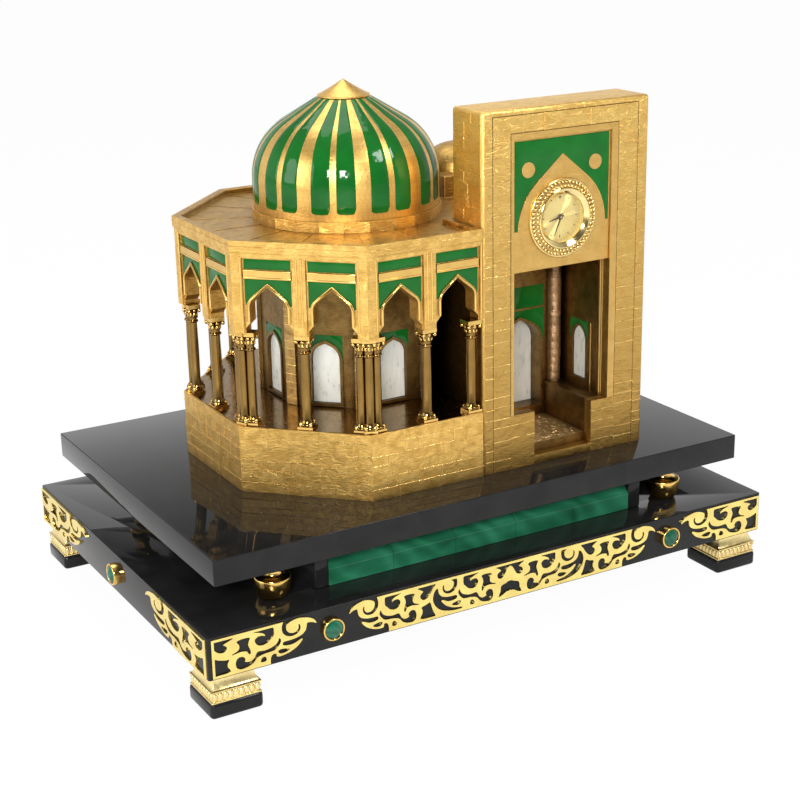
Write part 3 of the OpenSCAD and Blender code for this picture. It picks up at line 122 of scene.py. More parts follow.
class NodeSheet:
    """The node tree of a material or the world, with short calls for the nodes that the looks share."""

    def __init__(self, owner: bpy.types.Material | bpy.types.World, space: str = "Object") -> None:
        """Opens the node tree.

        Args:
            owner: the material or the world.
            space: the coordinates that its patterns read.
        """
        owner.use_nodes = True
        self.tree = owner.node_tree
        self.shader = self.tree.nodes.get("Principled BSDF") or self.tree.nodes["Background"]
        self.place = self.node("ShaderNodeTexCoord").outputs[space]

    def node(self, kind: str, **settings: object) -> bpy.types.Node:
        """Adds a node and sets its own properties.

        Args:
            kind: the node's type.
            settings: properties of the node.

        Returns:
            The node.
        """
        made = self.tree.nodes.new(kind)
        for key, value in settings.items():
            setattr(made, key, value)
        return made

    def feed(self, socket: bpy.types.NodeSocket, source: object) -> None:
        """Links a socket to an output, or sets its value.

        Args:
            socket: the input.
            source: an output socket, or a plain value.
        """
        if isinstance(source, bpy.types.NodeSocket):
            self.tree.links.new(source, socket)
        elif isinstance(source, tuple) and len(source) == 3 and socket.type == "RGBA":
            socket.default_value = (*source, 1.0)
        else:
            socket.default_value = source

    def wire(self, node: bpy.types.Node, **inputs: object) -> bpy.types.Node:
        """Feeds a node's inputs by name.

        Args:
            node: the node.
            inputs: what each input gets; underscores in a name stand for spaces.

        Returns:
            The node.
        """
        for key, value in inputs.items():
            self.feed(node.inputs[key.replace("_", " ")], value)
        return node

    def set(self, **inputs: object) -> None:
        """Feeds inputs of the main shader."""
        self.wire(self.shader, **inputs)

    def pair(self, kind: str, operation: str, first: object, second: object) -> bpy.types.Node:
        """Adds a node that works on two values.

        Args:
            kind: the node's type.
            operation: what it does with them.
            first: the first value.
            second: the second value.

        Returns:
            The node.
        """
        made = self.node(kind, operation=operation)
        self.feed(made.inputs[0], first)
        self.feed(made.inputs[1], second)
        return made

    def math(self, operation: str, first: object, second: object = 0.0) -> bpy.types.NodeSocket:
        """Result of an operation on two numbers."""
        return self.pair("ShaderNodeMath", operation, first, second).outputs[0]

    def vector(self, operation: str, first: object, second: object = (0.0, 0.0, 0.0)) -> bpy.types.NodeSocket:
        """Result of an operation on two vectors."""
        made = self.pair("ShaderNodeVectorMath", operation, first, second)
        return made.outputs["Value" if operation == "DOT_PRODUCT" else "Vector"]

    def weighed(self, *shares: tuple[bpy.types.NodeSocket, float]) -> bpy.types.NodeSocket:
        """Sum of two grey values, each taken by its share."""
        first, second = (self.math("MULTIPLY", value, share) for value, share in shares)
        return self.math("ADD", first, second)

    def parts(self, vector: bpy.types.NodeSocket) -> Sequence[bpy.types.NodeSocket]:
        """The x, y and z of a vector."""
        return self.wire(self.node("ShaderNodeSeparateXYZ"), Vector=vector).outputs

    def joined(self, **parts: bpy.types.NodeSocket) -> bpy.types.NodeSocket:
        """Vector with the given X, Y or Z."""
        return self.wire(self.node("ShaderNodeCombineXYZ"), **parts).outputs[0]

    def noise(self, scale: float, detail: float = 3.0, where: object = None, stretch: Color = (1, 1, 1),
              distortion: float = 0.0) -> bpy.types.NodeSocket:
        """Noise in the piece's own space.

        Args:
            scale: repeats per metre.
            detail: octaves.
            where: coordinates, or the object's own.
            stretch: factors on the coordinates.
            distortion: swirl of the noise.

        Returns:
            The grey value.
        """
        spread = self.vector("MULTIPLY", where or self.place, stretch)
        made = self.wire(self.node("ShaderNodeTexNoise"), Vector=spread, Scale=scale, Detail=detail,
                         Distortion=distortion)
        return made.outputs["Fac"]

    def ramp(self, value: bpy.types.NodeSocket, *stops: tuple[float, Color]) -> bpy.types.NodeSocket:
        """Colours a grey value.

        Args:
            value: the grey value.
            stops: places and colours along the ramp.

        Returns:
            The colour.
        """
        made = self.wire(self.node("ShaderNodeValToRGB"), Fac=value)
        points = made.color_ramp.elements
        while len(points) < len(stops):
            points.new(0.5)
        for point, (at, color) in zip(points, stops):
            point.position = at
            point.color = (*color, 1.0)
        return made.outputs["Color"]

    def range(self, value: bpy.types.NodeSocket, low: float, high: float, start: float = 0.3,
              end: float = 0.7) -> bpy.types.NodeSocket:
        """Maps a grey value to another range.

        Args:
            value: the grey value.
            low: the result at the start.
            high: the result at the end.
            start: grey where the map starts.
            end: grey where it ends.

        Returns:
            The mapped value.
        """
        made = self.node("ShaderNodeMapRange")
        self.wire(made, Value=value, From_Min=start, From_Max=end, To_Min=low, To_Max=high)
        return made.outputs["Result"]

    def mix(self, factor: object, first: object, second: object, kind: Blend = Blend.RGBA,
            blend_type: str = "MIX") -> bpy.types.NodeSocket:
        """Mixes two colours or vectors.

        Args:
            factor: share of the second.
            first: the first colour or vector.
            second: the second one.
            kind: what is mixed.
            blend_type: how colours are mixed.

        Returns:
            The mixture.
        """
        first_input, second_input, output = kind.value
        made = self.node("ShaderNodeMix", data_type=kind.name, blend_type=blend_type)
        self.wire(made, Factor=factor)
        self.feed(made.inputs[first_input], first)
        self.feed(made.inputs[second_input], second)
        return made.outputs[output]

    def bump(self, height: bpy.types.NodeSocket, strength: float, depth: float,
             below: bpy.types.NodeSocket | None = None) -> bpy.types.NodeSocket:
        """Bump from a height.

        Args:
            height: the height.
            strength: share of the bump that shows.
            depth: metres from black to white.
            below: normal of an earlier bump under this one.

        Returns:
            The normal.
        """
        made = self.wire(self.node("ShaderNodeBump"), Strength=strength, Distance=depth, Height=height)
        if below is not None:
            self.wire(made, Normal=below)
        return made.outputs["Normal"]

    def along_wall(self, level_from: float = 0.8) -> bpy.types.NodeSocket:
        """Coordinates that run along an upright wall and up it, and flat ones on a floor.

        Args:
            level_from: upward share of the normal past which a face counts as a floor.

        Returns:
            The coordinates.
        """
        normal = self.node("ShaderNodeNewGeometry").outputs["True Normal"]
        level = self.vector("NORMALIZE", self.vector("CROSS_PRODUCT", (0.0, 0.0, 1.0), normal))
        run = self.vector("DOT_PRODUCT", level, self.place)
        wall = self.joined(X=run, Y=self.parts(self.place)[2])
        flat = self.math("GREATER_THAN", self.math("ABSOLUTE", self.parts(normal)[2]), level_from)
        return self.mix(flat, wall, self.place, Blend.VECTOR)

    def hollows(self, reach: float) -> bpy.types.NodeSocket:
        """Grey value that falls from one in the open to zero in corners within the given reach."""
        return self.wire(self.node("ShaderNodeAmbientOcclusion", samples=6), Distance=reach).outputs["AO"]


@dataclass(frozen=True)
class Finish:
    """A surface finish; each kind fills in its own node tree."""

    name: str
    slot: Slot

    def fill(self, sheet: NodeSheet) -> None:
        """Builds the node tree; each kind of finish has its own."""
        raise NotImplementedError

    def material(self) -> bpy.types.Material:
        """Makes the finish's material on first use.

        Returns:
            The material.
        """
        made = bpy.data.materials.get(self.name)
        if made is None:
            made = bpy.data.materials.new(self.name)
            self.fill(NodeSheet(made))
        return made


@dataclass(frozen=True)
class PolishedStone(Finish):
    """Black stone with a mirror polish and faint veils in it."""

    slot: Slot = Slot.BLACK_STONE
    tone: Color = (0.009, 0.009, 0.009)
    veil: Color = (0.016, 0.016, 0.016)

    def fill(self, sheet: NodeSheet) -> None:
        """Dark mottled body under a clear gloss.

        Args:
            sheet: the material's node tree.
        """
        mottle = sheet.noise(scale=55, detail=6, distortion=0.6)
        polish = sheet.noise(scale=30, detail=4)
        sheet.set(Base_Color=sheet.ramp(mottle, (0.35, self.tone), (0.75, self.veil)),
                  Roughness=sheet.range(polish, low=0.02, high=0.05), IOR=1.5, Specular_IOR_Level=0.2)


@dataclass(frozen=True)
class Gilt(Finish):
    """Polished gilding with slight hand-polishing waves and painted shade in its corners."""

    slot: Slot = Slot.POLISHED_GILT
    tone: Color = (0.92, 0.6, 0.17)
    shade: Color = (0.42, 0.22, 0.05)
    gloss: tuple[float, float] = (0.1, 0.24)
    hollow: float = 0.002
    wave: float = 0.00006

    def fill(self, sheet: NodeSheet) -> None:
        """Gold whose tone and gloss vary a little, with painted shade in its hollows.

        Args:
            sheet: the material's node tree.
        """
        # Painted shade: ambient occlusion turns the colour towards the shade colour in corners and hollows.
        painted_shade = sheet.range(sheet.hollows(self.hollow), low=0.0, high=1.0, start=0.15, end=0.75)
        cloud = sheet.range(sheet.noise(scale=140), low=0.75, high=1.0)
        polish = sheet.noise(scale=420, detail=2)
        waves = sheet.noise(scale=260, detail=2)
        open_part = sheet.math("MULTIPLY", painted_shade, cloud)
        sheet.set(Base_Color=sheet.mix(open_part, self.shade, self.tone), Metallic=1.0,
                  Roughness=sheet.range(polish, *self.gloss),
                  Normal=sheet.bump(waves, strength=0.35, depth=self.wave))


@dataclass(frozen=True)
class CastGilt(Finish):
    """Rough gilt casting: short drags along the walls, lumps, pits and painted shade in the hollows."""

    slot: Slot = Slot.CAST_GILT
    tone: Color = (0.7, 0.41, 0.1)
    bright: Color = (0.98, 0.64, 0.19)
    shade: Color = (0.24, 0.12, 0.028)
    # Painted shade: when given, the colour that the surface turns to towards its bottom, over the heights on
    # the next line.
    foot: Color | None = None
    painted_shade_climb: tuple[float, float] = (0.0, 1.0)
    hollow: float = 0.006
    lump: float = 0.00045
    streak: float = 0.00026
    pit: float = 0.00007
    wrinkle: float = 0.0001
    roughness: tuple[float, float] = (0.26, 0.5)

    def fill(self, sheet: NodeSheet) -> None:
        """Short drags, wrinkles and a fine grain over lumps, with painted shade in the hollows and, where a
        foot colour is given, painted shade towards the bottom.

        Args:
            sheet: the material's node tree.
        """
        wall = sheet.along_wall()
        drag = sheet.noise(scale=1, detail=5, where=wall, stretch=(420, 1700, 800), distortion=0.3)
        grain = sheet.noise(scale=1500, detail=4, where=wall)
        lumps = sheet.noise(scale=190, detail=4, where=wall, distortion=0.5)
        drift = sheet.noise(scale=1, where=wall, stretch=(95, 330, 200), distortion=0.8)
        crest = sheet.math("ABSOLUTE", sheet.math("SUBTRACT", drift, 0.5))
        ridge = sheet.range(crest, low=1.0, high=0.0, start=0.0, end=0.03)
        rough = None
        for height, strength, depth in ((lumps, 0.6, self.lump), (drag, 0.6, self.streak),
                                        (grain, 0.5, self.pit), (ridge, 0.5, self.wrinkle)):
            rough = sheet.bump(height, strength, depth, rough)
        wear = sheet.range(sheet.weighed((drag, 0.45), (lumps, 0.55)), low=0.0, high=1.0, start=0.4, end=0.62)
        surface_tone = sheet.mix(wear, self.tone, self.bright)
        # Painted shade: darker towards the bottom, as if lit from above.
        if self.foot:
            height = sheet.parts(sheet.place)[2]
            surface_tone = sheet.mix(sheet.range(height, 0.0, 1.0, *self.painted_shade_climb), self.foot, surface_tone)
        # Painted shade: ambient occlusion turns the colour towards the shade colour in corners and hollows.
        painted_shade = sheet.range(sheet.hollows(self.hollow), low=0.0, high=1.0, start=0.15, end=0.8)
        open_part = sheet.math("MULTIPLY", painted_shade, sheet.range(grain, low=0.9, high=1.0))
        sheet.set(Base_Color=sheet.mix(open_part, self.shade, surface_tone), Metallic=1.0,
                  Roughness=sheet.range(grain, *self.roughness), Normal=rough)


@dataclass(frozen=True)
class FiredEnamel(Finish):
    """Deep green enamel with a glassy surface."""

    slot: Slot = Slot.GREEN_ENAMEL
    tone: Color = (0.006, 0.11, 0.013)
    deep: Color = (0.004, 0.087, 0.01)

    def fill(self, sheet: NodeSheet) -> None:
        """Green that clouds slightly, with slow waves in its gloss.

        Args:
            sheet: the material's node tree.
        """
        cloud = sheet.noise(scale=90, detail=2)
        polish = sheet.noise(scale=60, detail=2)
        waves = sheet.noise(scale=130, detail=2)
        sheet.set(Base_Color=sheet.ramp(cloud, (0.3, self.deep), (0.65, self.tone)),
                  Roughness=sheet.range(polish, low=0.04, high=0.1), IOR=1.5, Specular_IOR_Level=0.24,
                  Normal=sheet.bump(waves, strength=0.5, depth=0.0006))


@dataclass(frozen=True)
class BandedMalachite(Finish):
    """Malachite with soft wavy bands of light and dark green."""

    slot: Slot = Slot.MALACHITE
    dark: Color = (0.006, 0.062, 0.028)
    middle: Color = (0.014, 0.12, 0.058)
    light: Color = (0.036, 0.22, 0.12)
    bands: float = 42.0

    def fill(self, sheet: NodeSheet) -> None:
        """Faint distorted bands over slow clouds.

        Args:
            sheet: the material's node tree.
        """
        wave = sheet.node("ShaderNodeTexWave", wave_type="BANDS", bands_direction="DIAGONAL")
        sheet.wire(wave, Vector=sheet.place, Scale=self.bands, Distortion=9.0, Detail=2.0, Detail_Scale=0.8)
        cloud = sheet.noise(scale=1, detail=4, stretch=(24, 60, 75), distortion=0.7)
        both = sheet.weighed((wave.outputs["Fac"], 0.18), (cloud, 0.8))
        sheet.set(Base_Color=sheet.ramp(both, (0.25, self.dark), (0.5, self.middle), (0.85, self.light)),
                  Roughness=sheet.range(cloud, low=0.05, high=0.11), IOR=1.5, Specular_IOR_Level=0.4)


@dataclass(frozen=True)
class Pearl(Finish):
    """Silvery pearl panes with drifting streaks."""

    slot: Slot = Slot.PEARL
    tone: Color = (0.74, 0.74, 0.67)
    grey: Color = (0.62, 0.63, 0.58)

    def fill(self, sheet: NodeSheet) -> None:
        """Cloudy silver with a crumpled sheen.

        Args:
            sheet: the material's node tree.
        """
        drift = sheet.noise(scale=1, detail=4, stretch=(420, 420, 160), distortion=0.4)
        sheet.set(Base_Color=sheet.ramp(drift, (0.25, self.grey), (0.6, self.tone)), Metallic=0.2,
                  Roughness=sheet.range(drift, low=0.24, high=0.42),
                  Normal=sheet.bump(drift, strength=0.2, depth=0.0003))


@dataclass(frozen=True)
class Sunburst(Finish):
    """Champagne dial brushed out from its centre."""

    slot: Slot = Slot.CHAMPAGNE
    centre: Color = (0.0, 0.0, 0.0)
    tone: Color = (1.0, 0.83, 0.33)
    deep: Color = (0.86, 0.64, 0.21)

    def fill(self, sheet: NodeSheet) -> None:
        """Fine rays of light and dark gold round the dial's centre, with a gloss drawn out across them.

        Args:
            sheet: the material's node tree.
        """
        offset = sheet.vector("SUBTRACT", sheet.place, self.centre)
        x, _, z = sheet.parts(offset)
        rays = sheet.noise(scale=16, detail=5, where=sheet.joined(X=sheet.math("ARCTAN2", z, x)))
        across = sheet.vector("NORMALIZE", sheet.vector("CROSS_PRODUCT", offset, (0.0, 1.0, 0.0)))
        sheet.set(Base_Color=sheet.ramp(rays, (0.34, self.deep), (0.6, self.tone)), Metallic=0.55,
                  Roughness=sheet.range(rays, low=0.52, high=0.6), Anisotropic=1.0, Tangent=across)


@dataclass(frozen=True)
class Brushed(Finish):
    """Metal with a fine brushed grain."""

    slot: Slot = Slot.STEEL
    tone: Color = (0.6, 0.6, 0.6)
    roughness: tuple[float, float] = (0.25, 0.4)

    def fill(self, sheet: NodeSheet) -> None:
        """Streaks along x in tone and gloss.

        Args:
            sheet: the material's node tree.
        """
        streak = sheet.noise(scale=1, stretch=(300, 4000, 4000))
        dark = tuple(0.8 * part for part in self.tone)
        sheet.set(Base_Color=sheet.ramp(streak, (0.35, dark), (0.65, self.tone)), Metallic=1.0,
                  Roughness=sheet.range(streak, *self.roughness))


@dataclass(frozen=True)
class Dull(Finish):
    """Rubber, plastic or lacquer with a fine grain."""

    slot: Slot = Slot.RUBBER
    tone: Color = (0.02, 0.02, 0.02)
    roughness: tuple[float, float] = (0.5, 0.7)
    metal: float = 0.0

    def fill(self, sheet: NodeSheet) -> None:
        """Slightly grained single tone.

        Args:
            sheet: the material's node tree.
        """
        grain = sheet.noise(scale=2500)
        light = tuple(1.35 * part for part in self.tone)
        sheet.set(Base_Color=sheet.ramp(grain, (0.4, self.tone), (0.7, light)), Metallic=self.metal,
                  Roughness=sheet.range(grain, *self.roughness),
                  Normal=sheet.bump(grain, strength=0.2, depth=0.00004))


@dataclass(frozen=True)
class ClearGlass(Finish):
    """Thin watch glass that lets light through to the dial."""

    slot: Slot = Slot.CRYSTAL
    tint: Color = (0.3, 0.28, 0.22)
    body: float = 0.07

    def fill(self, sheet: NodeSheet) -> None:
        """Mostly clear, with a faint smear in its gloss.

        Args:
            sheet: the material's node tree.
        """
        smear = sheet.noise(scale=80, detail=2)
        sheet.set(Base_Color=self.tint, Alpha=self.body, IOR=1.5, Specular_IOR_Level=0.9,
                  Roughness=sheet.range(smear, low=0.02, high=0.06))


STONE = PolishedStone("black_stone_polish")
GILT = Gilt("polished_gilding")
PLATE_GILT = Gilt("bright_plate_gilding", tone=(0.98, 0.79, 0.26), gloss=(0.18, 0.32), hollow=0.0005)
PAD_GILT = Gilt("pale_pad_gilding", tone=(0.98, 0.8, 0.38), gloss=(0.24, 0.4), hollow=0.0008)
# Dark copy of the polished gilding: painted shade and painted reflection of a dark room on the column shafts.
SHAFT_GILT = Gilt("shaft_gilding", tone=(0.28, 0.165, 0.046), shade=(0.05, 0.026, 0.008), gloss=(0.06, 0.14),
                  hollow=0.008)
COLUMN_GILT = Gilt("column_gilding", tone=(0.84, 0.54, 0.16), shade=(0.1, 0.05, 0.012), gloss=(0.1, 0.22),
                   hollow=0.003)
# Paler bezel gilding, partly a painted highlight on the beads; the darker bed gilding after it is painted
# shade in the gaps between them.
BEZEL_GILT = Gilt("bezel_gilding", tone=(0.96, 0.75, 0.33), shade=(0.14, 0.075, 0.02), gloss=(0.07, 0.15),
                  hollow=0.0009)
BED_GILT = Gilt("bezel_bed_shade_gilding", tone=(0.66, 0.45, 0.16), shade=(0.3, 0.17, 0.05), gloss=(0.3, 0.45))
RIM_GILT = Gilt("polished_rim_gilding", Slot.CAST_GILT, tone=(0.85, 0.55, 0.16))
FLOOR_GILT = Gilt("dark_floor_gilding", Slot.CAST_GILT, tone=(0.3, 0.19, 0.07), shade=(0.08, 0.045, 0.014),
                  gloss=(0.1, 0.28), hollow=0.012, wave=0.00012)
CAST = CastGilt("masonry_gilding")
FINE_CAST = CastGilt("sanded_gilding", tone=(0.66, 0.41, 0.12), bright=(0.76, 0.5, 0.16), lump=0.00006,
                     streak=0.00003, pit=0.00014, roughness=(0.4, 0.6))
# Darker copy of the cast gilding: painted shade for the roof, which the dome and portal partly hide from the
# light.
ROOF_CAST = CastGilt("roof_gilding", tone=(0.42, 0.25, 0.065), bright=(0.64, 0.4, 0.115),
                     shade=(0.12, 0.06, 0.016), hollow=0.014)
# Brighter copy of the cast gilding, darkening towards its foot: painted light at the top and painted shade
# below.
PORTAL_CAST = CastGilt("portal_gilding", tone=(0.86, 0.53, 0.14), bright=(1.0, 0.69, 0.22),
                       foot=(0.5, 0.3, 0.078), painted_shade_climb=(0.08, 0.25), lump=0.0007, wrinkle=0.0002)
# Brighter gilding for raised joints: a painted highlight where they would catch the light.
JOINT_CAST = CastGilt("joint_highlight_gilding", tone=(0.92, 0.6, 0.18), bright=(1.0, 0.74, 0.27),
                      shade=(0.4, 0.22, 0.06), hollow=0.0006, roughness=(0.2, 0.36))
GROOVE = CastGilt("groove_patina", tone=(0.2, 0.115, 0.03), bright=(0.3, 0.18, 0.05),
                  shade=(0.06, 0.03, 0.01))
DOME_CAST = CastGilt("dome_gilding", tone=(0.74, 0.45, 0.12), bright=(0.94, 0.6, 0.18), lump=0.0002,
                     streak=0.00012, pit=0.00004, wrinkle=0.00004)
# Darker copies of the cast gilding: painted shade for the inside of the chamber, its corner strips and the
# porch.
INNER_CAST = CastGilt("inner_gilding", tone=(0.2, 0.12, 0.036), bright=(0.34, 0.21, 0.07),
                      shade=(0.045, 0.023, 0.008), hollow=0.016, lump=0.00025, wrinkle=0.00004)
STRIP_CAST = CastGilt("strip_gilding", tone=(0.36, 0.22, 0.07), bright=(0.6, 0.39, 0.14),
                      shade=(0.06, 0.03, 0.01))
# Near-black gilding for a sheet of painted shade over the hall's side.
SHADE_SHEET_CAST = CastGilt("painted_shade_gilding", tone=(0.05, 0.03, 0.012), bright=(0.09, 0.055, 0.02),
                     shade=(0.012, 0.007, 0.003), hollow=0.02)
COARSE_CAST = CastGilt("coarse_gilding", tone=(0.8, 0.56, 0.27), bright=(1.0, 0.77, 0.4),
                       shade=(0.26, 0.15, 0.06), lump=0.0007)
ROUGH_CAST = CastGilt("rough_gilding", tone=(0.34, 0.2, 0.1), bright=(0.62, 0.4, 0.22),
                      shade=(0.14, 0.08, 0.04), lump=0.0009, wrinkle=0.0003, roughness=(0.42, 0.62))
# Cast gilding with a longer reach of painted shade, which darkens the soffits of the arches.
ARCADE_CAST = CastGilt("arcade_gilding", shade=(0.09, 0.045, 0.012), hollow=0.022)
ENAMEL = FiredEnamel("fired_green_enamel")
MALACHITE = BandedMalachite("banded_malachite")
CABOCHON = BandedMalachite("deep_malachite", dark=(0.003, 0.042, 0.021), middle=(0.007, 0.085, 0.045),
                           light=(0.02, 0.16, 0.09), bands=160.0)
PEARL = Pearl("pearl_pane")
STEEL = Brushed("brushed_steel")
BRASS = Brushed("wheel_brass_brushed", Slot.WHEEL_BRASS, tone=(0.78, 0.56, 0.22))
COPPER = Brushed("copper_wire", Slot.COPPER, tone=(0.72, 0.34, 0.16))
RUBBER = Dull("black_rubber")
KNOB = Dull("black_plastic", Slot.KNOB_PLASTIC, tone=(0.03, 0.03, 0.03), roughness=(0.35, 0.5))
BRONZE = Dull("dark_bronze_lacquer", Slot.DARK_BRONZE, tone=(0.06, 0.03, 0.012), roughness=(0.25, 0.35),
              metal=0.6)
GLASS = ClearGlass("watch_glass")


class Carver:
    """A mesh under construction, worked with bmesh operators and closed into a named piece."""

    def __init__(self) -> None:
        """Starts an empty mesh."""
        self.mesh = bmesh.new()

    @contextmanager
    def placed(self, place: Matrix) -> Iterator[None]:
        """Moves what is added inside the with block.

        Args:
            place: the transform.
        """
        outer, self.mesh = self.mesh, bmesh.new()
        yield
        inner, self.mesh = self.mesh, outer
        bmesh.ops.transform(inner, matrix=place, verts=inner.verts[:], space=Matrix())
        self.add(inner)

    def add(self, other: bmesh.types.BMesh) -> None:
        """Joins another mesh to this one and frees it.

        Args:
            other: the mesh that is taken in.
        """
        moved = bpy.data.meshes.new("moved")
        other.to_mesh(moved)
        other.free()
        self.mesh.from_mesh(moved)
        bpy.data.meshes.remove(moved)

    def block(self, low: Sequence[float], high: Sequence[float]) -> None:
        """Adds a box between two corners.

        Args:
            low: the corner with the lowest coordinates.
            high: the opposite corner.
        """
        low, high = Vector(low), Vector(high)
        place = Matrix.Translation((low + high) / 2) @ Matrix.Diagonal((*(high - low), 1))
        bmesh.ops.create_cube(self.mesh, size=1, matrix=place)

    def ball(self, at: Sequence[float], radii: Sequence[float], detail: int = 8) -> None:
        """Adds an ellipsoid.

        Args:
            at: its centre.
            radii: its half sizes.
            detail: faces round it.
        """
        place = Matrix.Translation(at) @ Matrix.Diagonal((*radii, 1))
        bmesh.ops.create_uvsphere(self.mesh, u_segments=detail, v_segments=max(6, detail * 3 // 4), radius=1,
                                  matrix=place)

    def turned(self, profile: Profile, steps: int = 64) -> None:
        """Spins a profile of radius and height about the z axis.

        Args:
            profile: radius and height of each point.
            steps: sides of the turned form.
        """
        verts = [self.mesh.verts.new((radius, 0, height)) for radius, height in profile]
        edges = [self.mesh.edges.new(pair) for pair in zip(verts, verts[1:])]
        bmesh.ops.spin(self.mesh, geom=verts + edges, cent=(0, 0, 0), axis=(0, 0, 1), angle=FULL_TURN,
                       steps=steps, use_merge=True)

    def tube(self, path: Sequence[Sequence[float]], radius: float, closed: bool = False) -> None:
        """Adds a round bar along a path.

        Args:
            path: points of the bar's axis.
            radius: the bar's radius.
            closed: whether the path returns to its start.
        """
        curve = bpy.data.curves.new("bar_path", "CURVE")
        curve.dimensions = "3D"
        curve.bevel_depth = radius
        curve.bevel_resolution = 2
        curve.use_fill_caps = True
        spline = curve.splines.new("POLY")
        spline.points.add(len(path) - 1)
        for point, at in zip(spline.points, path):
            point.co = (*at, 1)
        spline.use_cyclic_u = closed
        holder = shown("bar_path", curve)
        swept = bpy.data.meshes.new_from_object(holder.evaluated_get(bpy.context.evaluated_depsgraph_get()))
        self.mesh.from_mesh(swept)
        bpy.data.objects.remove(holder)
        bpy.data.curves.remove(curve)
        bpy.data.meshes.remove(swept)

    def copy_of(self, node: str) -> None:
        """Starts from a CAD node's mesh, with its triangles joined into whole faces.

        Args:
            node: the CAD node.
        """
        self.mesh.from_mesh(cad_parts[node].data)
        bmesh.ops.remove_doubles(self.mesh, verts=self.mesh.verts[:], dist=MERGE)
        bmesh.ops.dissolve_limit(self.mesh, angle_limit=SAME_PLANE, verts=self.mesh.verts[:],
                                 edges=self.mesh.edges[:])

    def soften(self, width: float, segments: int = 2, least: float = 30, clamp: bool = True) -> None:
        """Rounds the sharp edges.

        Args:
            width: width of the rounding.
            segments: faces across it.
            least: smallest angle in degrees that counts as sharp.
            clamp: whether roundings may not run into each other.
        """
        limit = math.radians(least)
        sharp = [edge for edge in self.mesh.edges if edge.is_manifold and edge.calc_face_angle(0) > limit]
        self.bevel(sharp, width, segments, clamp)

    def bevel(self, edges: Sequence[bmesh.types.BMEdge], width: float, segments: int, clamp: bool) -> None:
        """Rounds the given edges."""
        bmesh.ops.bevel(self.mesh, geom=edges, offset=width, segments=segments, profile=0.5, affect="EDGES",
                        material=-1, clamp_overlap=clamp)

    def piece(self, name: str, finish: Finish, replaces: Sequence[str] = (), body: str = ROOT,
              crease: float = 35) -> bpy.types.Object:
        """Closes the mesh into an object that rides on a body.

        Args:
            name: the piece's name.
            finish: its finish.
            replaces: CAD nodes that it stands for.
            body: the body that carries it.
            crease: angle in degrees past which an edge stays sharp.

        Returns:
            The object.
        """
        bmesh.ops.remove_doubles(self.mesh, verts=self.mesh.verts[:], dist=MERGE)
        bmesh.ops.recalc_face_normals(self.mesh, faces=self.mesh.faces[:])
        data = bpy.data.meshes.new(name)
        self.mesh.to_mesh(data)
        self.mesh.free()
        data.shade_smooth()
        data.set_sharp_from_angle(angle=math.radians(crease))
        data.materials.append(finish.material())
        made = shown(name, data)
        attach(made, body)
        if replaces:
            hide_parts(*replaces)
        LOG.info("%s: %d faces", name, len(data.polygons))
        return made


def recast(node: str, finish: Finish, width: float, segments: int = 2, body: str = ROOT, crease: float = 14,
           clamp: bool = True) -> bpy.types.Object:
    """Replaces a CAD node by a copy with rounded edges.

    Args:
        node: the CAD node.
        finish: the copy's finish.
        width: width of the rounding.
        segments: faces across the rounding.
        body: the body that carries it.
        crease: angle in degrees past which an edge stays sharp.
        clamp: whether roundings may not run into each other.

    Returns:
        The new piece.
    """
    carver = Carver()
    carver.copy_of(node)
    carver.soften(width, segments, clamp=clamp)
    return carver.piece(node + "_form", finish, [node], body, crease)


def dress(node: str, finish: Finish) -> None:
    """Gives a CAD node that stays its finish.

    Args:
        node: the CAD node.
        finish: its finish.
    """
    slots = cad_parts[node].data.materials
    slots.clear()
    slots.append(finish.material())


def arc(centre: Point, radius: float, start: float, end: float, steps: int) -> list[Point]:
    """Points of a flat arc.

    Args:
        centre: the arc's centre.
        radius: its radius.
        start: first angle in degrees.
        end: last angle in degrees.
        steps: number of stretches.

    Returns:
        The points.
    """
    angles = [math.radians(start + (end - start) * step / steps) for step in range(steps + 1)]
    return [(centre[0] + radius * math.cos(angle), centre[1] + radius * math.sin(angle)) for angle in angles]


def keel(half: float, rise: float, lean: float = 50, steps: int = 8) -> list[Point]:
    """Keel arch from its right springing over the tip to the left one.

    Args:
        half: half of the clear width.
        rise: height from the springing to the tip.
        lean: angle in degrees at which each side's curve turns straight.
        steps: stretches in each curve.

    Returns:
        Points in the plane of the arch.
    """
    radius = (rise - half / math.tan(math.radians(lean))) / math.tan(math.radians(lean / 2))
    right = arc((half - radius, 0), radius, 0, lean, steps)
    return right + [(0, rise)] + [(-x, y) for x, y in reversed(right)]


@dataclass(frozen=True)
class Wall:
    """A flat upright field that takes masonry."""

    start: Point
    end: Point
    low: float
    high: float


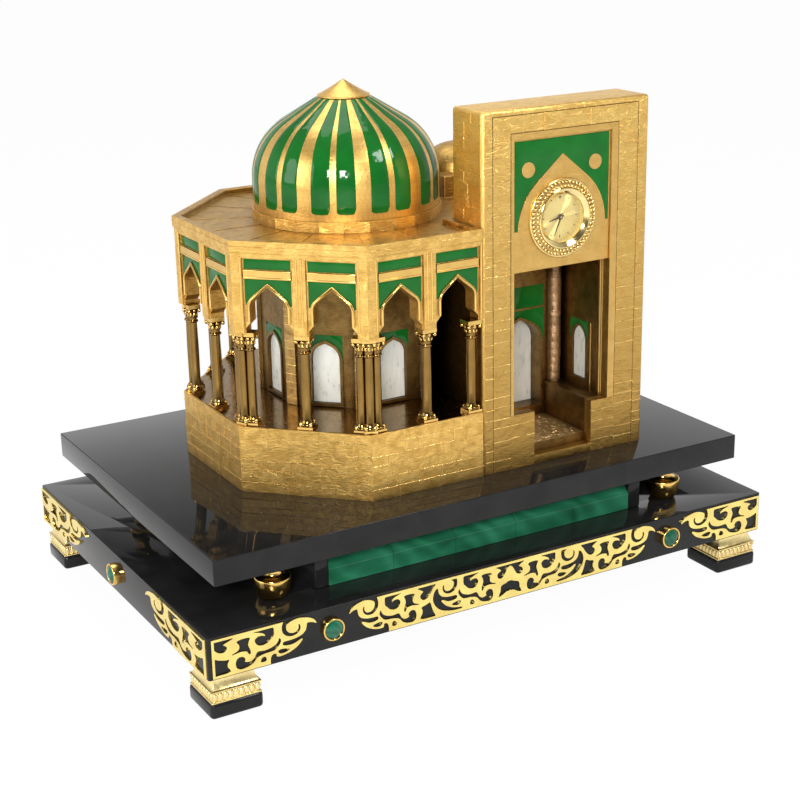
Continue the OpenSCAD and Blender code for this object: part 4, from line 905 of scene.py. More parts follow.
@dataclass(frozen=True)
class Mason:
    """Lays low courses of irregular blocks over walls, with raised joints between them."""

    course: float = 0.0052
    uneven: float = 0.16
    shortest: float = 0.007
    longest: float = 0.019
    relief: tuple[float, float] = (0.00003, 0.00015)
    joint: tuple[float, float] = (0.00022, 0.00048)
    proud: tuple[float, float] = (0.00008, 0.00026)
    share: float = 0.72
    root: float = 0.0004
    rounding: float = 0.00007

    def lay(self, name: str, walls: Sequence[Wall], seed: int, finish: Finish = CAST) -> None:
        """Makes one piece of all the blocks of some walls.

        Args:
            name: the piece's name.
            walls: the fields, each seen with its start on the left.
            seed: start of the random lengths.
            finish: the blocks' finish.
        """
        draw = random.Random(seed)
        blocks, joints = Carver(), Carver()
        for wall in walls:
            run = Vector((wall.end[0] - wall.start[0], wall.end[1] - wall.start[1], 0))
            place = spot((*wall.start, wall.low), math.atan2(run.y, run.x))
            with blocks.placed(place), joints.placed(place):
                self.courses(blocks, joints, run.length, wall.high - wall.low, draw)
        # The raised joints take a brighter gilding, a painted highlight where they would catch the light.
        for carver, end, tone in ((blocks, "", finish), (joints, "_joints", JOINT_CAST)):
            if carver.mesh.verts:
                carver.soften(self.rounding, segments=1, clamp=False)
                carver.piece(name + end, tone, crease=14)

    def courses(self, blocks: Carver, joints: Carver, length: float, height: float,
                draw: random.Random) -> None:
        """Fills one field, in its own frame, with blocks.

        Args:
            blocks: the mesh that takes them.
            joints: the mesh that takes their raised joints.
            length: the field's length.
            height: the field's height.
            draw: the source of random lengths.
        """
        rows = max(1, round(height / self.course))
        step = height / rows
        inner = [step * (row + draw.uniform(-self.uneven, self.uneven)) for row in range(1, rows)]
        beds = [0.0, *inner, height]
        for bottom, top in zip(beds, beds[1:]):
            left = 0.0
            while left < length:
                right = left + draw.uniform(self.shortest, self.longest)
                if length - right < self.shortest:
                    right = length
                face = draw.uniform(*self.relief)
                blocks.block((left, -face, bottom), (right, self.root, top))
                if bottom > 0:
                    self.ridge(joints, (left, bottom), (right, bottom), face, draw)
                if left > 0:
                    self.ridge(joints, (left, bottom), (left, top), face, draw)
                left = right

    def ridge(self, carver: Carver, start: Point, end: Point, face: float, draw: random.Random) -> None:
        """Raised joint along one edge of a block, left out here and there.

        Args:
            carver: the mesh that takes it.
            start: one end in the field.
            end: the other end.
            face: how far the block stands out.
            draw: the source of random sizes.
        """
        half, rise = draw.uniform(*self.joint) / 2, face + draw.uniform(*self.proud)
        if draw.random() < self.share:
            carver.block((start[0] - half, -rise, start[1] - half), (end[0] + half, self.root, end[1] + half))


@dataclass
class Stand:
    """Black stone slabs and feet, gilt pads, pillars, scroll plates, malachite and cabochons."""

    slab_edge: float = 0.0007
    foot_edge: float = 0.0014
    tile_edge: float = 0.00025
    pad_edge: float = 0.0002
    band_share: float = 0.46
    pad_lip: float = 0.0006
    pad_sink: float = 0.0007
    pad_throat: float = 0.0024
    leaves: int = 9
    neck_share: float = 0.52
    ring_share: float = 0.46
    bowl_foot: float = 0.0008
    moulding: float = 0.0009
    cove_in: float = 0.0014
    cove_h: float = 0.0026
    neck_collar: float = 0.0002
    cabochon_in: float = 0.058
    collar_r: float = 0.0052
    collar_h: float = 0.0032
    collar_rim: float = 0.00045
    collar_seat: float = 0.0008
    stone_r: float = 0.0042
    stone_rise: float = 0.0014
    stone_sink: float = 0.0004
    stone_root: float = 0.001

    def build(self) -> None:
        """Makes every piece of the stand."""
        for node in ("base_slab", "deck_slab", "core_block"):
            self.stone_block(node, self.slab_edge)
        for number in range(1, 5):
            self.stone_block(f"foot_block_{number}", self.foot_edge)
            self.pad(f"foot_pad_{number}")
            self.pillar(f"pillar_{number}")
            dress(f"corner_plates_{number}", PLATE_GILT)
        for node in ("front_plate", "back_plate"):
            dress(node, PLATE_GILT)
        recast("malachite_strips", MALACHITE, self.tile_edge)
        self.cabochons()

    def stone_block(self, node: str, edge: float) -> None:
        """Cuts a stone block with eased edges to a node's shape."""
        recast(node, STONE, edge, segments=3, crease=40)

    def pad(self, node: str) -> None:
        """Cast pad: a hollow throat over a band of upright leaves.

        Args:
            node: the CAD node of the pad.
        """
        low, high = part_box(node)
        middle = (low + high) / 2
        foot = (middle.x, middle.y, low.z)
        half, height = (high.x - low.x) / 2, high.z - low.z
        band, lip, inner = height * self.band_share, self.pad_lip, half - self.pad_sink
        ledge = lip * 1.6
        side = [(half, 0), (half, lip), (inner, ledge), (inner, band - ledge), (half, band - lip),
                (half, band)]
        hollow = [(half - self.pad_throat * math.sin(math.radians(angle)),
                   band + (height - band) * (1 - math.cos(math.radians(angle))))
                  for angle in range(10, 91, 10)]
        diagonal = math.sqrt(2)
        outline = [(0, 0)] + [(r * diagonal, z) for r, z in side + hollow] + [(0, height)]
        carver = Carver()
        with carver.placed(spot(foot, EIGHTH)):
            carver.turned(outline, steps=4)
        carver.soften(self.pad_edge, least=24)
        carver.piece(node + "_casting", PAD_GILT, [node], crease=25)
        self.pad_leaves(node, foot, half, band)

    def pad_leaves(self, node: str, foot: Sequence[float], half: float, band: float) -> None:
        """Upright leaves round the band of a pad, with a bud after each.

        Args:
            node: the CAD node of the pad.
            foot: middle of the pad's underside.
            half: half of the pad's side.
            band: height of its band.
        """
        pitch = 2 * (half - self.pad_lip) / self.leaves
        y = -half + self.pad_sink
        leaf_z, leaf = band * 0.46, (pitch * 0.46, self.pad_sink * 0.95, band * 0.36)
        bud_z, bud = band * 0.72, (pitch * 0.2, self.pad_sink * 0.7, band * 0.12)
        carver = Carver()
        for quarter in range(4):
            with carver.placed(spot(foot, math.pi / 2 * quarter)):
                for number in range(self.leaves):
                    x = -half + self.pad_lip + pitch * (number + 0.5)
                    carver.ball((x, y, leaf_z), leaf, detail=10)
                    carver.ball((x + pitch / 2, y, bud_z), bud, detail=6)
        carver.piece(node + "_leaves", PAD_GILT)

    def pillar(self, node: str) -> None:
        """Turned pillar: a bowl that carries a ring, and a neck with a collar above it.

        Args:
            node: the CAD node of the pillar.
        """
        low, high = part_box(node)
        middle = (low + high) / 2
        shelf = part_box("base_slab")[1].z
        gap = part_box("deck_slab")[0].z - shelf
        ring, ring_z, bead = (high.x - low.x) / 2, gap * self.ring_share, self.moulding
        neck = ring * self.neck_share
        foot = neck + self.bowl_foot
        bowl = [(foot + (ring - foot) * math.cos(math.radians(a)), ring_z * (1 + math.sin(math.radians(a))))
                for a in range(-90, 1, 10)]
        rim = arc((ring - bead, ring_z + bead), bead, 0, 90, 5)
        cove = [(neck + (ring - self.cove_in - neck) * (1 - math.sin(math.radians(a))),
                 ring_z + 2 * bead + self.cove_h * (1 - math.cos(math.radians(a)))) for a in range(0, 91, 10)]
        collar = arc((neck + self.neck_collar, gap - bead), bead, -90, 90, 8)
        carver = Carver()
        with carver.placed(spot((middle.x, middle.y, shelf))):
            carver.turned([(0, 0)] + bowl + rim + cove + collar + [(0, gap)], steps=72)
        carver.piece(node + "_turning", GILT, [node], crease=50)

    def cabochons(self) -> None:
        """Six cabochons in their collars."""
        low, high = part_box("base_slab")
        level = ((low + high) / 2).z
        reach = high.x - self.cabochon_in
        places = []
        for side in (-1, 1):
            quarter = side * math.pi / 2
            places += [spot((x, side * high.y, level), -quarter, "X") for x in (-reach, reach)]
            places.append(spot((side * high.x, 0, level), quarter, "Y"))
        rim, inner, height = self.collar_rim, self.stone_r, self.collar_h
        seat, root, top = height - self.collar_seat, height - self.stone_root, height - self.stone_sink
        collar = ([(0, 0), (self.collar_r, 0)] + arc((self.collar_r - rim, height - rim), rim, 0, 180, 8)
                  + [(inner, seat), (0, seat)])
        ball = (inner ** 2 + self.stone_rise ** 2) / (2 * self.stone_rise)
        spread = math.degrees(math.asin(inner / ball))
        stone = [(0, root), (inner, root)] + arc((0, top + self.stone_rise - ball), ball, 90 - spread, 90, 10)
        for name, finish, node, profile in (("cabochon_collar_rings", GILT, "cabochon_collars", collar),
                                            ("cabochon_stones", CABOCHON, "cabochons", stone)):
            carver = Carver()
            for place in places:
                with carver.placed(place):
                    carver.turned(profile, steps=48)
            carver.piece(name, finish, [node], crease=50)


@dataclass
class Pavilion:
    """Octagonal arcade on its podium, with the chamber, windows and enamel inside and over it."""

    centre: tuple[float, float] = (-0.0215, 0.002)
    apothem: float = 0.0755
    podium_h: float = 0.0315
    column_h: float = 0.044
    arcade_h: float = 0.037
    bay_mid: float = 0.0147
    bay_w: float = 0.0232
    arch_w: float = 0.0174
    arch_tip: float = 0.0215
    arch_rise: float = 0.0095
    column_back: float = 0.0044
    capital: float = 0.0072
    shaft: float = 0.0024
    cluster_shaft: float = 0.002
    cluster_step: float = 0.0038
    cluster_share: float = 0.84
    chamber_a: float = 0.041
    strip_w: float = 0.006
    strip_out: float = 0.0004
    strip_lift: float = 0.0002
    shade_sheet_t: float = 0.00025
    podium_edge: float = 0.0006
    wall_edge: float = 0.00025
    inner_edge: float = 0.0002
    enamel_edge: float = 0.0003
    wall_t: float = 0.008
    floor_in: float = 0.0008
    floor_t: float = 0.00012
    rim_r: float = 0.00062
    rim_in: float = 0.0006
    rim_foot: float = 0.0055
    bead_r: float = 0.00045
    bead_in: float = 0.0001
    bead_top: float = 0.0352
    pier_bead: float = 0.0011
    pier_foot: float = 0.004
    end_bead: float = 0.0007
    end_foot: float = 0.003
    bar_low: float = 0.0252
    bar_high: float = 0.0292
    bar_in: float = 0.0006
    bar_back: float = 0.00025
    bar_t: float = 0.0012
    bar_lip: float = 0.0004
    bar_edge: float = 0.00015
    portal_x: float = 0.006

    def __post_init__(self) -> None:
        """Works out levels and the facets."""
        self.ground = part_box("deck_slab")[1].z
        self.floor = self.ground + self.podium_h
        self.capital_z = self.floor + self.column_h
        self.top = self.capital_z + self.arcade_h
        self.facets = (Facing.FRONT, Facing.FRONT_LEFT, Facing.LEFT, Facing.BACK_LEFT, Facing.BACK)

    def facing(self, way: Facing, height: float) -> Matrix:
        """Frame of a facet: x along it, -y outwards, at the given height."""
        return spot((*self.centre, height), math.radians(way.value))

    def build(self) -> None:
        """Makes every piece of the pavilion."""
        recast("podium", CAST, self.podium_edge)
        recast("chamber", INNER_CAST, self.inner_edge)
        recast("window_panes", PEARL, self.inner_edge)
        recast("wall_enamel", ENAMEL, self.enamel_edge, segments=3, crease=30)
        for way in self.facets:
            recast("arcade_" + way.name.lower(), ARCADE_CAST, self.wall_edge)
        Mason().lay("podium_blocks", self.ring(self.ground, self.floor), seed=11)
        self.podium_floor()
        self.chamber_strips()
        self.paint_hall_shade()
        self.rims()
        self.bars()
        self.columns()

    def corner(self, way: Facing, side: int, inset: float = 0.0) -> Vector:
        """Corner at one end of a facet, drawn in by an inset."""
        reach = self.apothem - inset
        return self.facing(way, 0) @ Vector((side * reach * math.tan(SIXTEENTH), -reach, 0))

    def ring(self, low: float, high: float, out: float = 0.0, back_x: float | None = None) -> list[Wall]:
        """Fields over the facets' outer faces, cut off at the portal.

        Args:
            low: their lower level.
            high: their upper level.
            out: how far they stand out from the facade.
            back_x: where the one at the back starts, if not at the portal.

        Returns:
            The fields.
        """
        walls = []
        for way in self.facets:
            start, end = (self.corner(way, side, -out) for side in (-1, 1))
            if way is Facing.FRONT:
                end.x = self.portal_x
            if way is Facing.BACK:
                start.x = self.portal_x if back_x is None else back_x
            walls.append(Wall((start.x, start.y), (end.x, end.y), low, high))
        return walls

    def podium_floor(self) -> None:
        """Dark polished floor behind the columns."""
        reach = (self.apothem - self.floor_in) / math.cos(SIXTEENTH)
        carver = Carver()
        mesh = carver.mesh
        bmesh.ops.create_circle(mesh, cap_ends=True, segments=8, radius=reach,
                                matrix=spot((*self.centre, self.floor), SIXTEENTH))
        bmesh.ops.bisect_plane(mesh, geom=mesh.verts[:] + mesh.edges[:] + mesh.faces[:],
                               plane_co=(self.portal_x, 0, 0), plane_no=(1, 0, 0), clear_outer=True)
        rise = bmesh.ops.extrude_face_region(mesh, geom=mesh.faces[:])["geom"]
        bmesh.ops.translate(mesh, vec=(0, 0, self.floor_t),
                            verts=[part for part in rise if isinstance(part, bmesh.types.BMVert)])
        carver.piece("podium_floor", FLOOR_GILT)

    def chamber_strips(self) -> None:
        """Courses of small blocks up the strips at the chamber's corners."""
        reach = self.chamber_a / math.cos(SIXTEENTH) + self.strip_out
        walls = []
        for way in self.facets:
            turn = self.facing(way, 0) @ Matrix.Rotation(SIXTEENTH, 4, "Z")
            start, end = (turn @ Vector((side * self.strip_w / 2, -reach, 0)) for side in (-1, 1))
            walls.append(Wall((start.x, start.y), (end.x, end.y), self.floor + self.strip_lift, self.top))
        mason = Mason(course=0.0038, shortest=self.strip_w, longest=2 * self.strip_w, share=0.9)
        mason.lay("chamber_strips", walls, seed=17, finish=STRIP_CAST)

    def paint_hall_shade(self) -> None:
        """Dark sheet of painted shade over the hall's side in the arcade."""
        reach = self.apothem - self.wall_t
        carver = Carver()
        carver.block((self.portal_x - self.shade_sheet_t, self.centre[1] - reach, self.floor),
                     (self.portal_x, self.centre[1] + reach, self.top))
        carver.piece("hall_side_painted_shade", SHADE_SHEET_CAST)

    def rims(self) -> None:
        """Polished rims round the arches and beads along the piers."""
        spring = self.arch_tip - self.arch_rise
        face, bead_y = -self.apothem + self.rim_in, -self.apothem + self.bead_in
        arch = [(x, face, spring + z)
                for x, z in keel(self.arch_w / 2 + self.rim_r, self.arch_rise + self.rim_r * 1.3)]
        path = [(arch[0][0], face, self.rim_foot), *arch, (arch[-1][0], face, self.rim_foot)]
        edge = self.bay_mid + self.bay_w / 2 + self.end_bead
        beads = [(side * x, foot) for x, foot in ((self.pier_bead, self.pier_foot), (edge, self.end_foot))
                 for side in (-1, 1)]
        carver = Carver()
        for way in self.facets:
            with carver.placed(self.facing(way, self.capital_z)):
                for bay in (-self.bay_mid, self.bay_mid):
                    carver.tube([(x + bay, y, z) for x, y, z in path], self.rim_r)
                for x, foot in beads:
                    carver.tube([(x, bead_y, foot), (x, bead_y, self.bead_top)], self.bead_r)
        carver.piece("arch_rims", RIM_GILT, crease=50)

    def bars(self) -> None:
        """Polished bar between the enamel band and the spandrel of each bay."""
        low, high, lip = self.bar_low, self.bar_high, self.bar_lip
        half = self.bay_w / 2 - self.bar_in
        face = -self.apothem + self.bar_back
        carver = Carver()
        for way in self.facets:
            with carver.placed(self.facing(way, self.capital_z)):
                for bay in (-self.bay_mid, self.bay_mid):
                    left, right = bay - half, bay + half
                    carver.block((left, face, low), (right, face + self.bar_t, high))
                    for z in (low + lip, high - lip):
                        carver.block((left, face - lip / 2, z - lip), (right, face + self.bar_t / 2, z + lip))
        carver.soften(self.bar_edge, clamp=False)
        carver.piece("bay_bars", RIM_GILT, crease=20)

    def columns(self) -> None:
        """All the columns: one between the bays, clusters at the corners and one at each end."""
        reach = self.apothem - self.column_back
        singles = [self.facing(way, self.floor) @ Matrix.Translation((0, -reach, 0)) for way in self.facets]
        end_x = self.portal_x - self.capital / 2
        singles += [spot((end_x, self.centre[1] + side * reach, self.floor)) for side in (-1, 1)]
        corners = [self.facing(way, self.floor) @ Matrix.Rotation(-SIXTEENTH, 4, "Z")
                   @ Matrix.Translation((0, -reach / math.cos(SIXTEENTH), 0)) for way in self.facets[:-1]]
        across, back = self.cluster_step * math.cos(SIXTEENTH), self.cluster_step * math.sin(SIXTEENTH)
        bundle = [spot((0, 0, 0)), spot((across, back, 0), SIXTEENTH), spot((-across, back, 0), -SIXTEENTH)]
        columns = [(place, self.shaft, self.capital) for place in singles]
        columns += [(corner @ place, self.cluster_shaft, self.capital * self.cluster_share)
                    for corner in corners for place in bundle]
        shafts, castings = Carver(), Carver()
        for place, radius, width in columns:
            with shafts.placed(place):
                shafts.turned(self.shaft_profile(radius), steps=28)
            with castings.placed(place):
                self.crown(castings, width)
                self.foot(castings, width)
        shafts.piece("column_shafts", SHAFT_GILT, crease=45)
        castings.piece("column_castings", COLUMN_GILT, ["columns"], crease=45)

    def shaft_profile(self, radius: float) -> list[Point]:
        """Half section of a shaft with its base mouldings and its neck ring.

        Args:
            radius: radius of the shaft.

        Returns:
            Radius and height of each point.
        """
        neck = self.column_h - 0.0088
        foot = radius + 0.0006
        base = arc((foot, 0.0022), 0.0008, -90, 90, 6)
        swell = [(radius + 0.0004, 0.0034), (radius, 0.0046), (radius * 1.04, self.column_h / 2),
                 (radius * 0.94, neck)]
        ring = arc((radius, neck + 0.0006), 0.0006, -90, 90, 6)
        bell = [(radius * share, neck + rise)
                for share, rise in ((0.96, 0.0014), (1.05, 0.003), (1.3, 0.0052), (1.5, 0.0064), (0, 0.0066))]
        return [(0, 0.001), (foot, 0.0012)] + base + swell + ring + bell

    def crown(self, carver: Carver, width: float) -> None:
        """Leafy capital and square abacus of one shaft.

        Args:
            carver: the mesh that takes them.
            width: side of the abacus.
        """
        top, half = self.column_h, width / 2
        leaf, low = half * 0.3, half * 0.66
        upper_z, lower_z, abacus_z = top - 0.0029, top - 0.0049, top - 0.0019
        for step in range(8):
            x, y = math.cos(EIGHTH * step), math.sin(EIGHTH * step)
            out = half * (1.12 if step % 2 else 0.74)
            carver.ball((out * x, out * y, upper_z), (leaf, leaf, 0.0011))
            carver.ball((low * x, low * y, lower_z), (leaf * 0.8, leaf * 0.8, 0.0013))
        carver.block((-half, -half, abacus_z), (half, half, top))

    def foot(self, carver: Carver, width: float) -> None:
        """Square plinth with a spur on each corner.

        Args:
            carver: the mesh that takes them.
            width: side of the plinth.
        """
        half = width / 2
        spur = half * 0.62
        carver.block((-half, -half, 0), (half, half, 0.0014))
        for x in (-spur, spur):
            for y in (-spur, spur):
                carver.ball((x, y, 0.0019), (0.0011, 0.0011, 0.0017))


@dataclass
class RoofAndDome:
    """Flat roof with its parapet, the dome, its enamel and its cap."""

    radius: float = 0.0439
    upright: float = 0.0135
    bend: float = 0.031
    slope: float = math.radians(31)
    cap_r: float = 0.0115
    cap_h: float = 0.0075
    cap_lip: float = 0.0007
    enamel_foot: float = 0.0028
    enamel_top: float = 0.0004
    foot_round: float = 0.0013
    foot_curve: float = 0.98
    side_fall: float = 6.0
    top_fall: float = 40.0
    foot_fall: float = 26.0
    proud: float = 0.00025
    sunk: float = 0.00005
    pairs: int = 10
    wide_rib: float = math.radians(8.6)
    thin_rib: float = math.radians(3.4)
    rows: int = 30
    columns: int = 8
    roof_t: float = 0.0052
    roof_edge: float = 0.0005
    overhang: float = 0.0006
    back_run: float = 0.026
    drum_h: float = 0.005
    drum_out: float = 0.0009
    drum_sides: int = 24
    seam: float = 0.00016
    seam_lift: float = 0.00002
    seam_start: float = 0.001
    seam_sway: float = 0.0012
    seam_turn: float = 0.12
    seam_seed: int = 61
    parapet: float = 0.0045

    def __post_init__(self) -> None:
        """Works out the dome's section and place."""
        low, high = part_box("dome")
        self.centre = ((low.x + high.x) / 2, (low.y + high.y) / 2, low.z)
        self.pavilion = Pavilion()
        sweep = math.pi / 2 - self.slope
        self.bend_r = self.radius - self.bend * (1 - math.cos(sweep))
        self.bend_z = self.upright + self.bend * math.sin(sweep)
        self.cap_z = self.bend_z + (self.bend_r - self.cap_r) * math.tan(self.slope)
        self.lengths = (self.upright, self.bend * sweep, (self.bend_r - self.cap_r) / math.cos(self.slope))

    def section(self, way: float, out: float = 0.0) -> Point:
        """Point of the dome's half section.

        Args:
            way: distance along the section from its foot.
            out: height over the surface.

        Returns:
            Radius and height over the dome's foot.
        """
        first, second, _ = self.lengths
        if way <= first:
            return self.radius + out, way
        if way <= first + second:
            angle = (way - first) / self.bend
            reach = self.bend + out
            return self.radius - self.bend + reach * math.cos(angle), self.upright + reach * math.sin(angle)
        run = way - first - second
        return (self.bend_r - run * math.cos(self.slope) + out * math.sin(self.slope),
                self.bend_z + run * math.sin(self.slope) + out * math.cos(self.slope))

    def build(self) -> None:
        """Makes the roof, the dome's body, its enamel and its cap."""
        recast("roof", ROOF_CAST, self.roof_edge)
        self.cornice()
        self.seams()
        self.drum()
        self.body()
        self.enamel()

    def cornice(self) -> None:
        """Masonry along the cornice's outer faces and over the parapet's edge."""
        low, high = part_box("roof")
        top = low.z + self.roof_t
        walls = self.pavilion.ring(low.z, top, self.overhang, high.x)
        walls.append(Wall((high.x, low.y + self.back_run), (high.x, high.y), low.z, top))
        Mason(course=0.0027, shortest=0.016, longest=0.04).lay("cornice_blocks", walls, seed=53)

    def seams(self) -> None:
        """Fine seams between the roof's slabs, from the drum out to the parapet."""
        draw = random.Random(self.seam_seed)
        level = self.centre[2] - self.drum_h + self.seam_lift
        carver = Carver()
        for way in self.pavilion.facets:
            for turn in (-SIXTEENTH, draw.uniform(-self.seam_turn, self.seam_turn)):
                outward = self.pavilion.facing(way, level) @ Matrix.Rotation(turn, 4, "Z")
                reach = (self.pavilion.apothem - self.parapet) / math.cos(turn)
                bend = draw.uniform(-self.seam_sway, self.seam_sway)
                path = ((0, self.radius + self.seam_start), (bend, (self.radius + reach) / 2), (0, reach))
                carver.tube([outward @ Vector((x, -y, 0)) for x, y in path], self.seam)
        carver.piece("roof_seams", GROOVE)

    def drum(self) -> None:
        """Ring of rough blocks round the dome's foot."""
        reach = self.radius + self.drum_out
        x, y, top = self.centre
        angles = [FULL_TURN * side / self.drum_sides for side in range(self.drum_sides + 1)]
        corners = [(x + reach * math.cos(angle), y + reach * math.sin(angle)) for angle in angles]
        walls = [Wall(start, end, top - self.drum_h, top) for start, end in zip(corners, corners[1:])]
        Mason(relief=(0.00005, 0.0004), share=0.4, root=0.0012).lay("drum_blocks", walls, seed=57)

    def body(self, steps: int = 44) -> None:
        """Smooth gilt dome with a lipped cap.

        Args:
            steps: stretches in the dome's section.
        """
        total, lip = sum(self.lengths), self.cap_lip
        side = [self.section(total * step / steps) for step in range(steps + 1)]
        brim = [(self.cap_r + lip, self.cap_z + lip * share) for share in (-0.2, 0.7)]
        point = [(self.cap_r * (1 - share), self.cap_z + lip + (self.cap_h - lip) * share ** 1.08)
                 for share in (0.06, 0.3, 0.55, 0.78, 0.93)]
        carver = Carver()
        with carver.placed(spot(self.centre)):
            carver.turned([(0, 0)] + side + brim + point + [(0, self.cap_z + self.cap_h)], steps=120)
        carver.piece("dome_casting", DOME_CAST, ["dome"], crease=30)

    def enamel(self) -> None:
        """Glossy enamel between the ribs, each field rounded at its foot."""
        pair = FULL_TURN / self.pairs
        field = (pair - self.wide_rib - self.thin_rib) / 2
        carver = Carver()
        for number in range(self.pairs):
            for start in (self.wide_rib / 2, self.wide_rib / 2 + field + self.thin_rib):
                self.field(carver, number * pair + start, field)
        carver.piece("dome_enamel_fields", ENAMEL, ["dome_enamel"], crease=60)

    def field(self, carver: Carver, start: float, width: float) -> None:
        """One field of enamel, domed a little between its ribs.

        Args:
            carver: the mesh that takes it.
            start: angle of its first side.
            width: angle between its sides.
        """
        grid = bmesh.ops.create_grid(carver.mesh, x_segments=self.columns, y_segments=self.rows, size=1)
        top = sum(self.lengths) - self.enamel_top
        for vert in grid["verts"]:
            across, along = vert.co.x, (vert.co.y + 1) / 2
            rounding = self.foot_round * (1 - math.sqrt(max(0.0, 1 - across ** 4 * self.foot_curve)))
            way = self.enamel_foot + rounding + (top - self.enamel_foot - rounding) * along
            edge = min(1.0, self.side_fall * (1 - abs(across)), self.top_fall * (1 - along),
                       self.foot_fall * along)
            radius, height = self.section(way, self.proud * math.sqrt(max(0.0, edge)) - self.sunk)
            angle = start + width * (across + 1) / 2
            at = (radius * math.cos(angle), radius * math.sin(angle), height)
            vert.co = Vector(self.centre) + Vector(at)


@dataclass
class Portal:
    """Portal with its steps and bench, the clock panel and the porch and hall behind it."""

    edge: float = 0.0016
    eased: float = 0.0013
    inner_edge: float = 0.0004
    panel_edge: float = 0.0002
    enamel_edge: float = 0.0003
    porch_edge: float = 0.0003
    hall_edge: float = 0.0012
    left_pier: float = 0.017
    right_pier: float = 0.0212
    panel_z: float = 0.0942
    panel_h: float = 0.0607
    steps_w: float = 0.0328
    steps_shift: float = 0.0012
    wall_h: float = 0.0265
    bench_h: float = 0.0255
    tread: float = 0.005
    porch_d: float = 0.0398
    landing: float = 0.0085
    landing_t: float = 0.00012
    landing_side: float = 0.0003
    landing_front: float = 0.0002
    landing_back: float = 0.0008
    rubble: int = 110
    rubble_seed: int = 67
    rubble_side: float = 0.002
    rubble_front: float = 0.0018
    rubble_ends: float = 0.006
    rubble_r: tuple[float, float] = (0.0007, 0.0017)
    rubble_h: tuple[float, float] = (0.00025, 0.0006)
    line_r: float = 0.00024
    spandrel_w: float = 0.002
    spandrel_h: float = 0.0076
    border_left: float = 0.0054
    border_right: float = 0.006
    border_top: float = 0.0026
    band_left: float = 0.0016
    band_right: float = 0.0037
    band_top: float = 0.003
    band_edge: float = 0.00006
    groove: float = 0.0004
    groove_out: float = 0.00003
    groove_back: float = 0.0002
    rim_out: float = 0.00012
    column_r: tuple[float, float] = (0.0033, 0.0036)
    column_neck: float = 0.00012
    column_rings: int = 17
    column_seed: int = 41
    column_side: float = 0.0042
    column_rear: float = 0.0013

    def __post_init__(self) -> None:
        """Finds the opening, the lintel, the steps, and the lines round the border and the opening's band."""
        self.low, self.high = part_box("portal")
        self.left = self.low.x + self.left_pier
        self.right = self.high.x - self.right_pier
        self.lintel = self.low.z + self.panel_z + self.panel_h
        self.steps_left = (self.left + self.right - self.steps_w) / 2 + self.steps_shift
        self.wall_top, self.bench_top = self.low.z + self.wall_h, self.low.z + self.bench_h
        self.border = (self.low.x + self.border_left, self.high.x - self.border_right,
                       self.high.z - self.border_top)
        self.band = (self.left - self.band_left, self.right + self.band_right, self.lintel + self.band_top)

    def build(self) -> None:
        """Makes every piece of the portal and of the rooms behind it."""
        self.shell()
        recast("portal_panel", FINE_CAST, self.panel_edge)
        recast("panel_enamel", ENAMEL, self.enamel_edge, segments=3, crease=30)
        recast("porch", INNER_CAST, self.porch_edge)
        recast("hall", CAST, self.hall_edge)
        self.blocks()
        self.opening_rim()
        self.grooves()
        self.porch_floor()
        self.porch_rubble()
        self.panel_lines()
        self.porch_column()
        self.porch_beads()

    def shell(self) -> None:
        """The portal itself, with its outer edges worn round."""
        planes = ((0, self.low.x), (0, self.high.x), (1, self.low.y), (1, self.high.y), (2, self.high.z))
        carver = Carver()
        carver.copy_of("portal")
        outer = [edge for edge in carver.mesh.edges
                 if sum(all(abs(vert.co[axis] - at) < MERGE for vert in edge.verts)
                        for axis, at in planes) == 2]
        carver.bevel(outer, self.edge, segments=4, clamp=False)
        carver.soften(self.inner_edge)
        carver.piece("portal_form", PORTAL_CAST, ["portal"])

    def front_walls(self) -> list[Wall]:
        """Finds the fields of the portal's front: border, piers, lintel, low wall and bench.

        Returns:
            The fields.
        """
        low, high, gap = self.low, self.high, self.groove
        left, right, top = self.border
        band_left, band_right, band_top = self.band
        band = band_top + gap
        steps_right = self.steps_left + self.steps_w
        outer_left, outer_right, outer_top = low.x + self.eased, high.x - self.eased, high.z - self.eased
        fields = ((outer_left, left, low.z, outer_top), (right, outer_right, low.z, outer_top),
                  (left, right, top, outer_top), (left + gap, band_left - gap, low.z, band),
                  (band_right + gap, right - gap, low.z, band), (left + gap, right - gap, band, top - gap),
                  (band_left, self.steps_left, low.z, self.wall_top),
                  (steps_right, band_right, low.z, self.bench_top))
        return [Wall((start, low.y), (end, low.y), bottom, head) for start, end, bottom, head in fields]

    def blocks(self) -> None:
        """Masonry over the portal and the hall."""
        low, high = self.low, self.high
        hall_low, hall_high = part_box("hall")
        roof_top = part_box("dome")[0].z
        near, far, top = low.y + self.eased, high.y - self.eased, high.z - self.eased
        sides = [Wall((low.x, far), (low.x, near), roof_top, top),
                 Wall((high.x, near), (high.x, far), low.z, top),
                 Wall((high.x - self.eased, high.y), (low.x + self.eased, high.y), roof_top, top)]
        rooms = [Wall((hall_high.x, hall_low.y), (hall_high.x, hall_high.y), hall_low.z, hall_high.z),
                 Wall((hall_high.x, hall_high.y), (hall_low.x, hall_high.y), hall_low.z, hall_high.z)]
        mason = Mason()
        mason.lay("portal_front_blocks", self.front_walls(), seed=23, finish=PORTAL_CAST)
        mason.lay("portal_side_blocks", sides, seed=29, finish=PORTAL_CAST)
        mason.lay("hall_blocks", rooms, seed=31)

    def opening_rim(self) -> None:
        """Smooth band up both sides of the opening and over the panel."""
        front, back = self.low.y - self.rim_out, self.low.y + self.rim_out
        left, right, top = self.band
        carver = Carver()
        for start, end, bottom in ((left, self.left, self.wall_top), (self.right, right, self.bench_top),
                                   (self.left, self.right, self.lintel)):
            carver.block((start, front, bottom), (end, back, top))
        carver.soften(self.band_edge, clamp=False)
        carver.piece("opening_rim", FINE_CAST, crease=20)

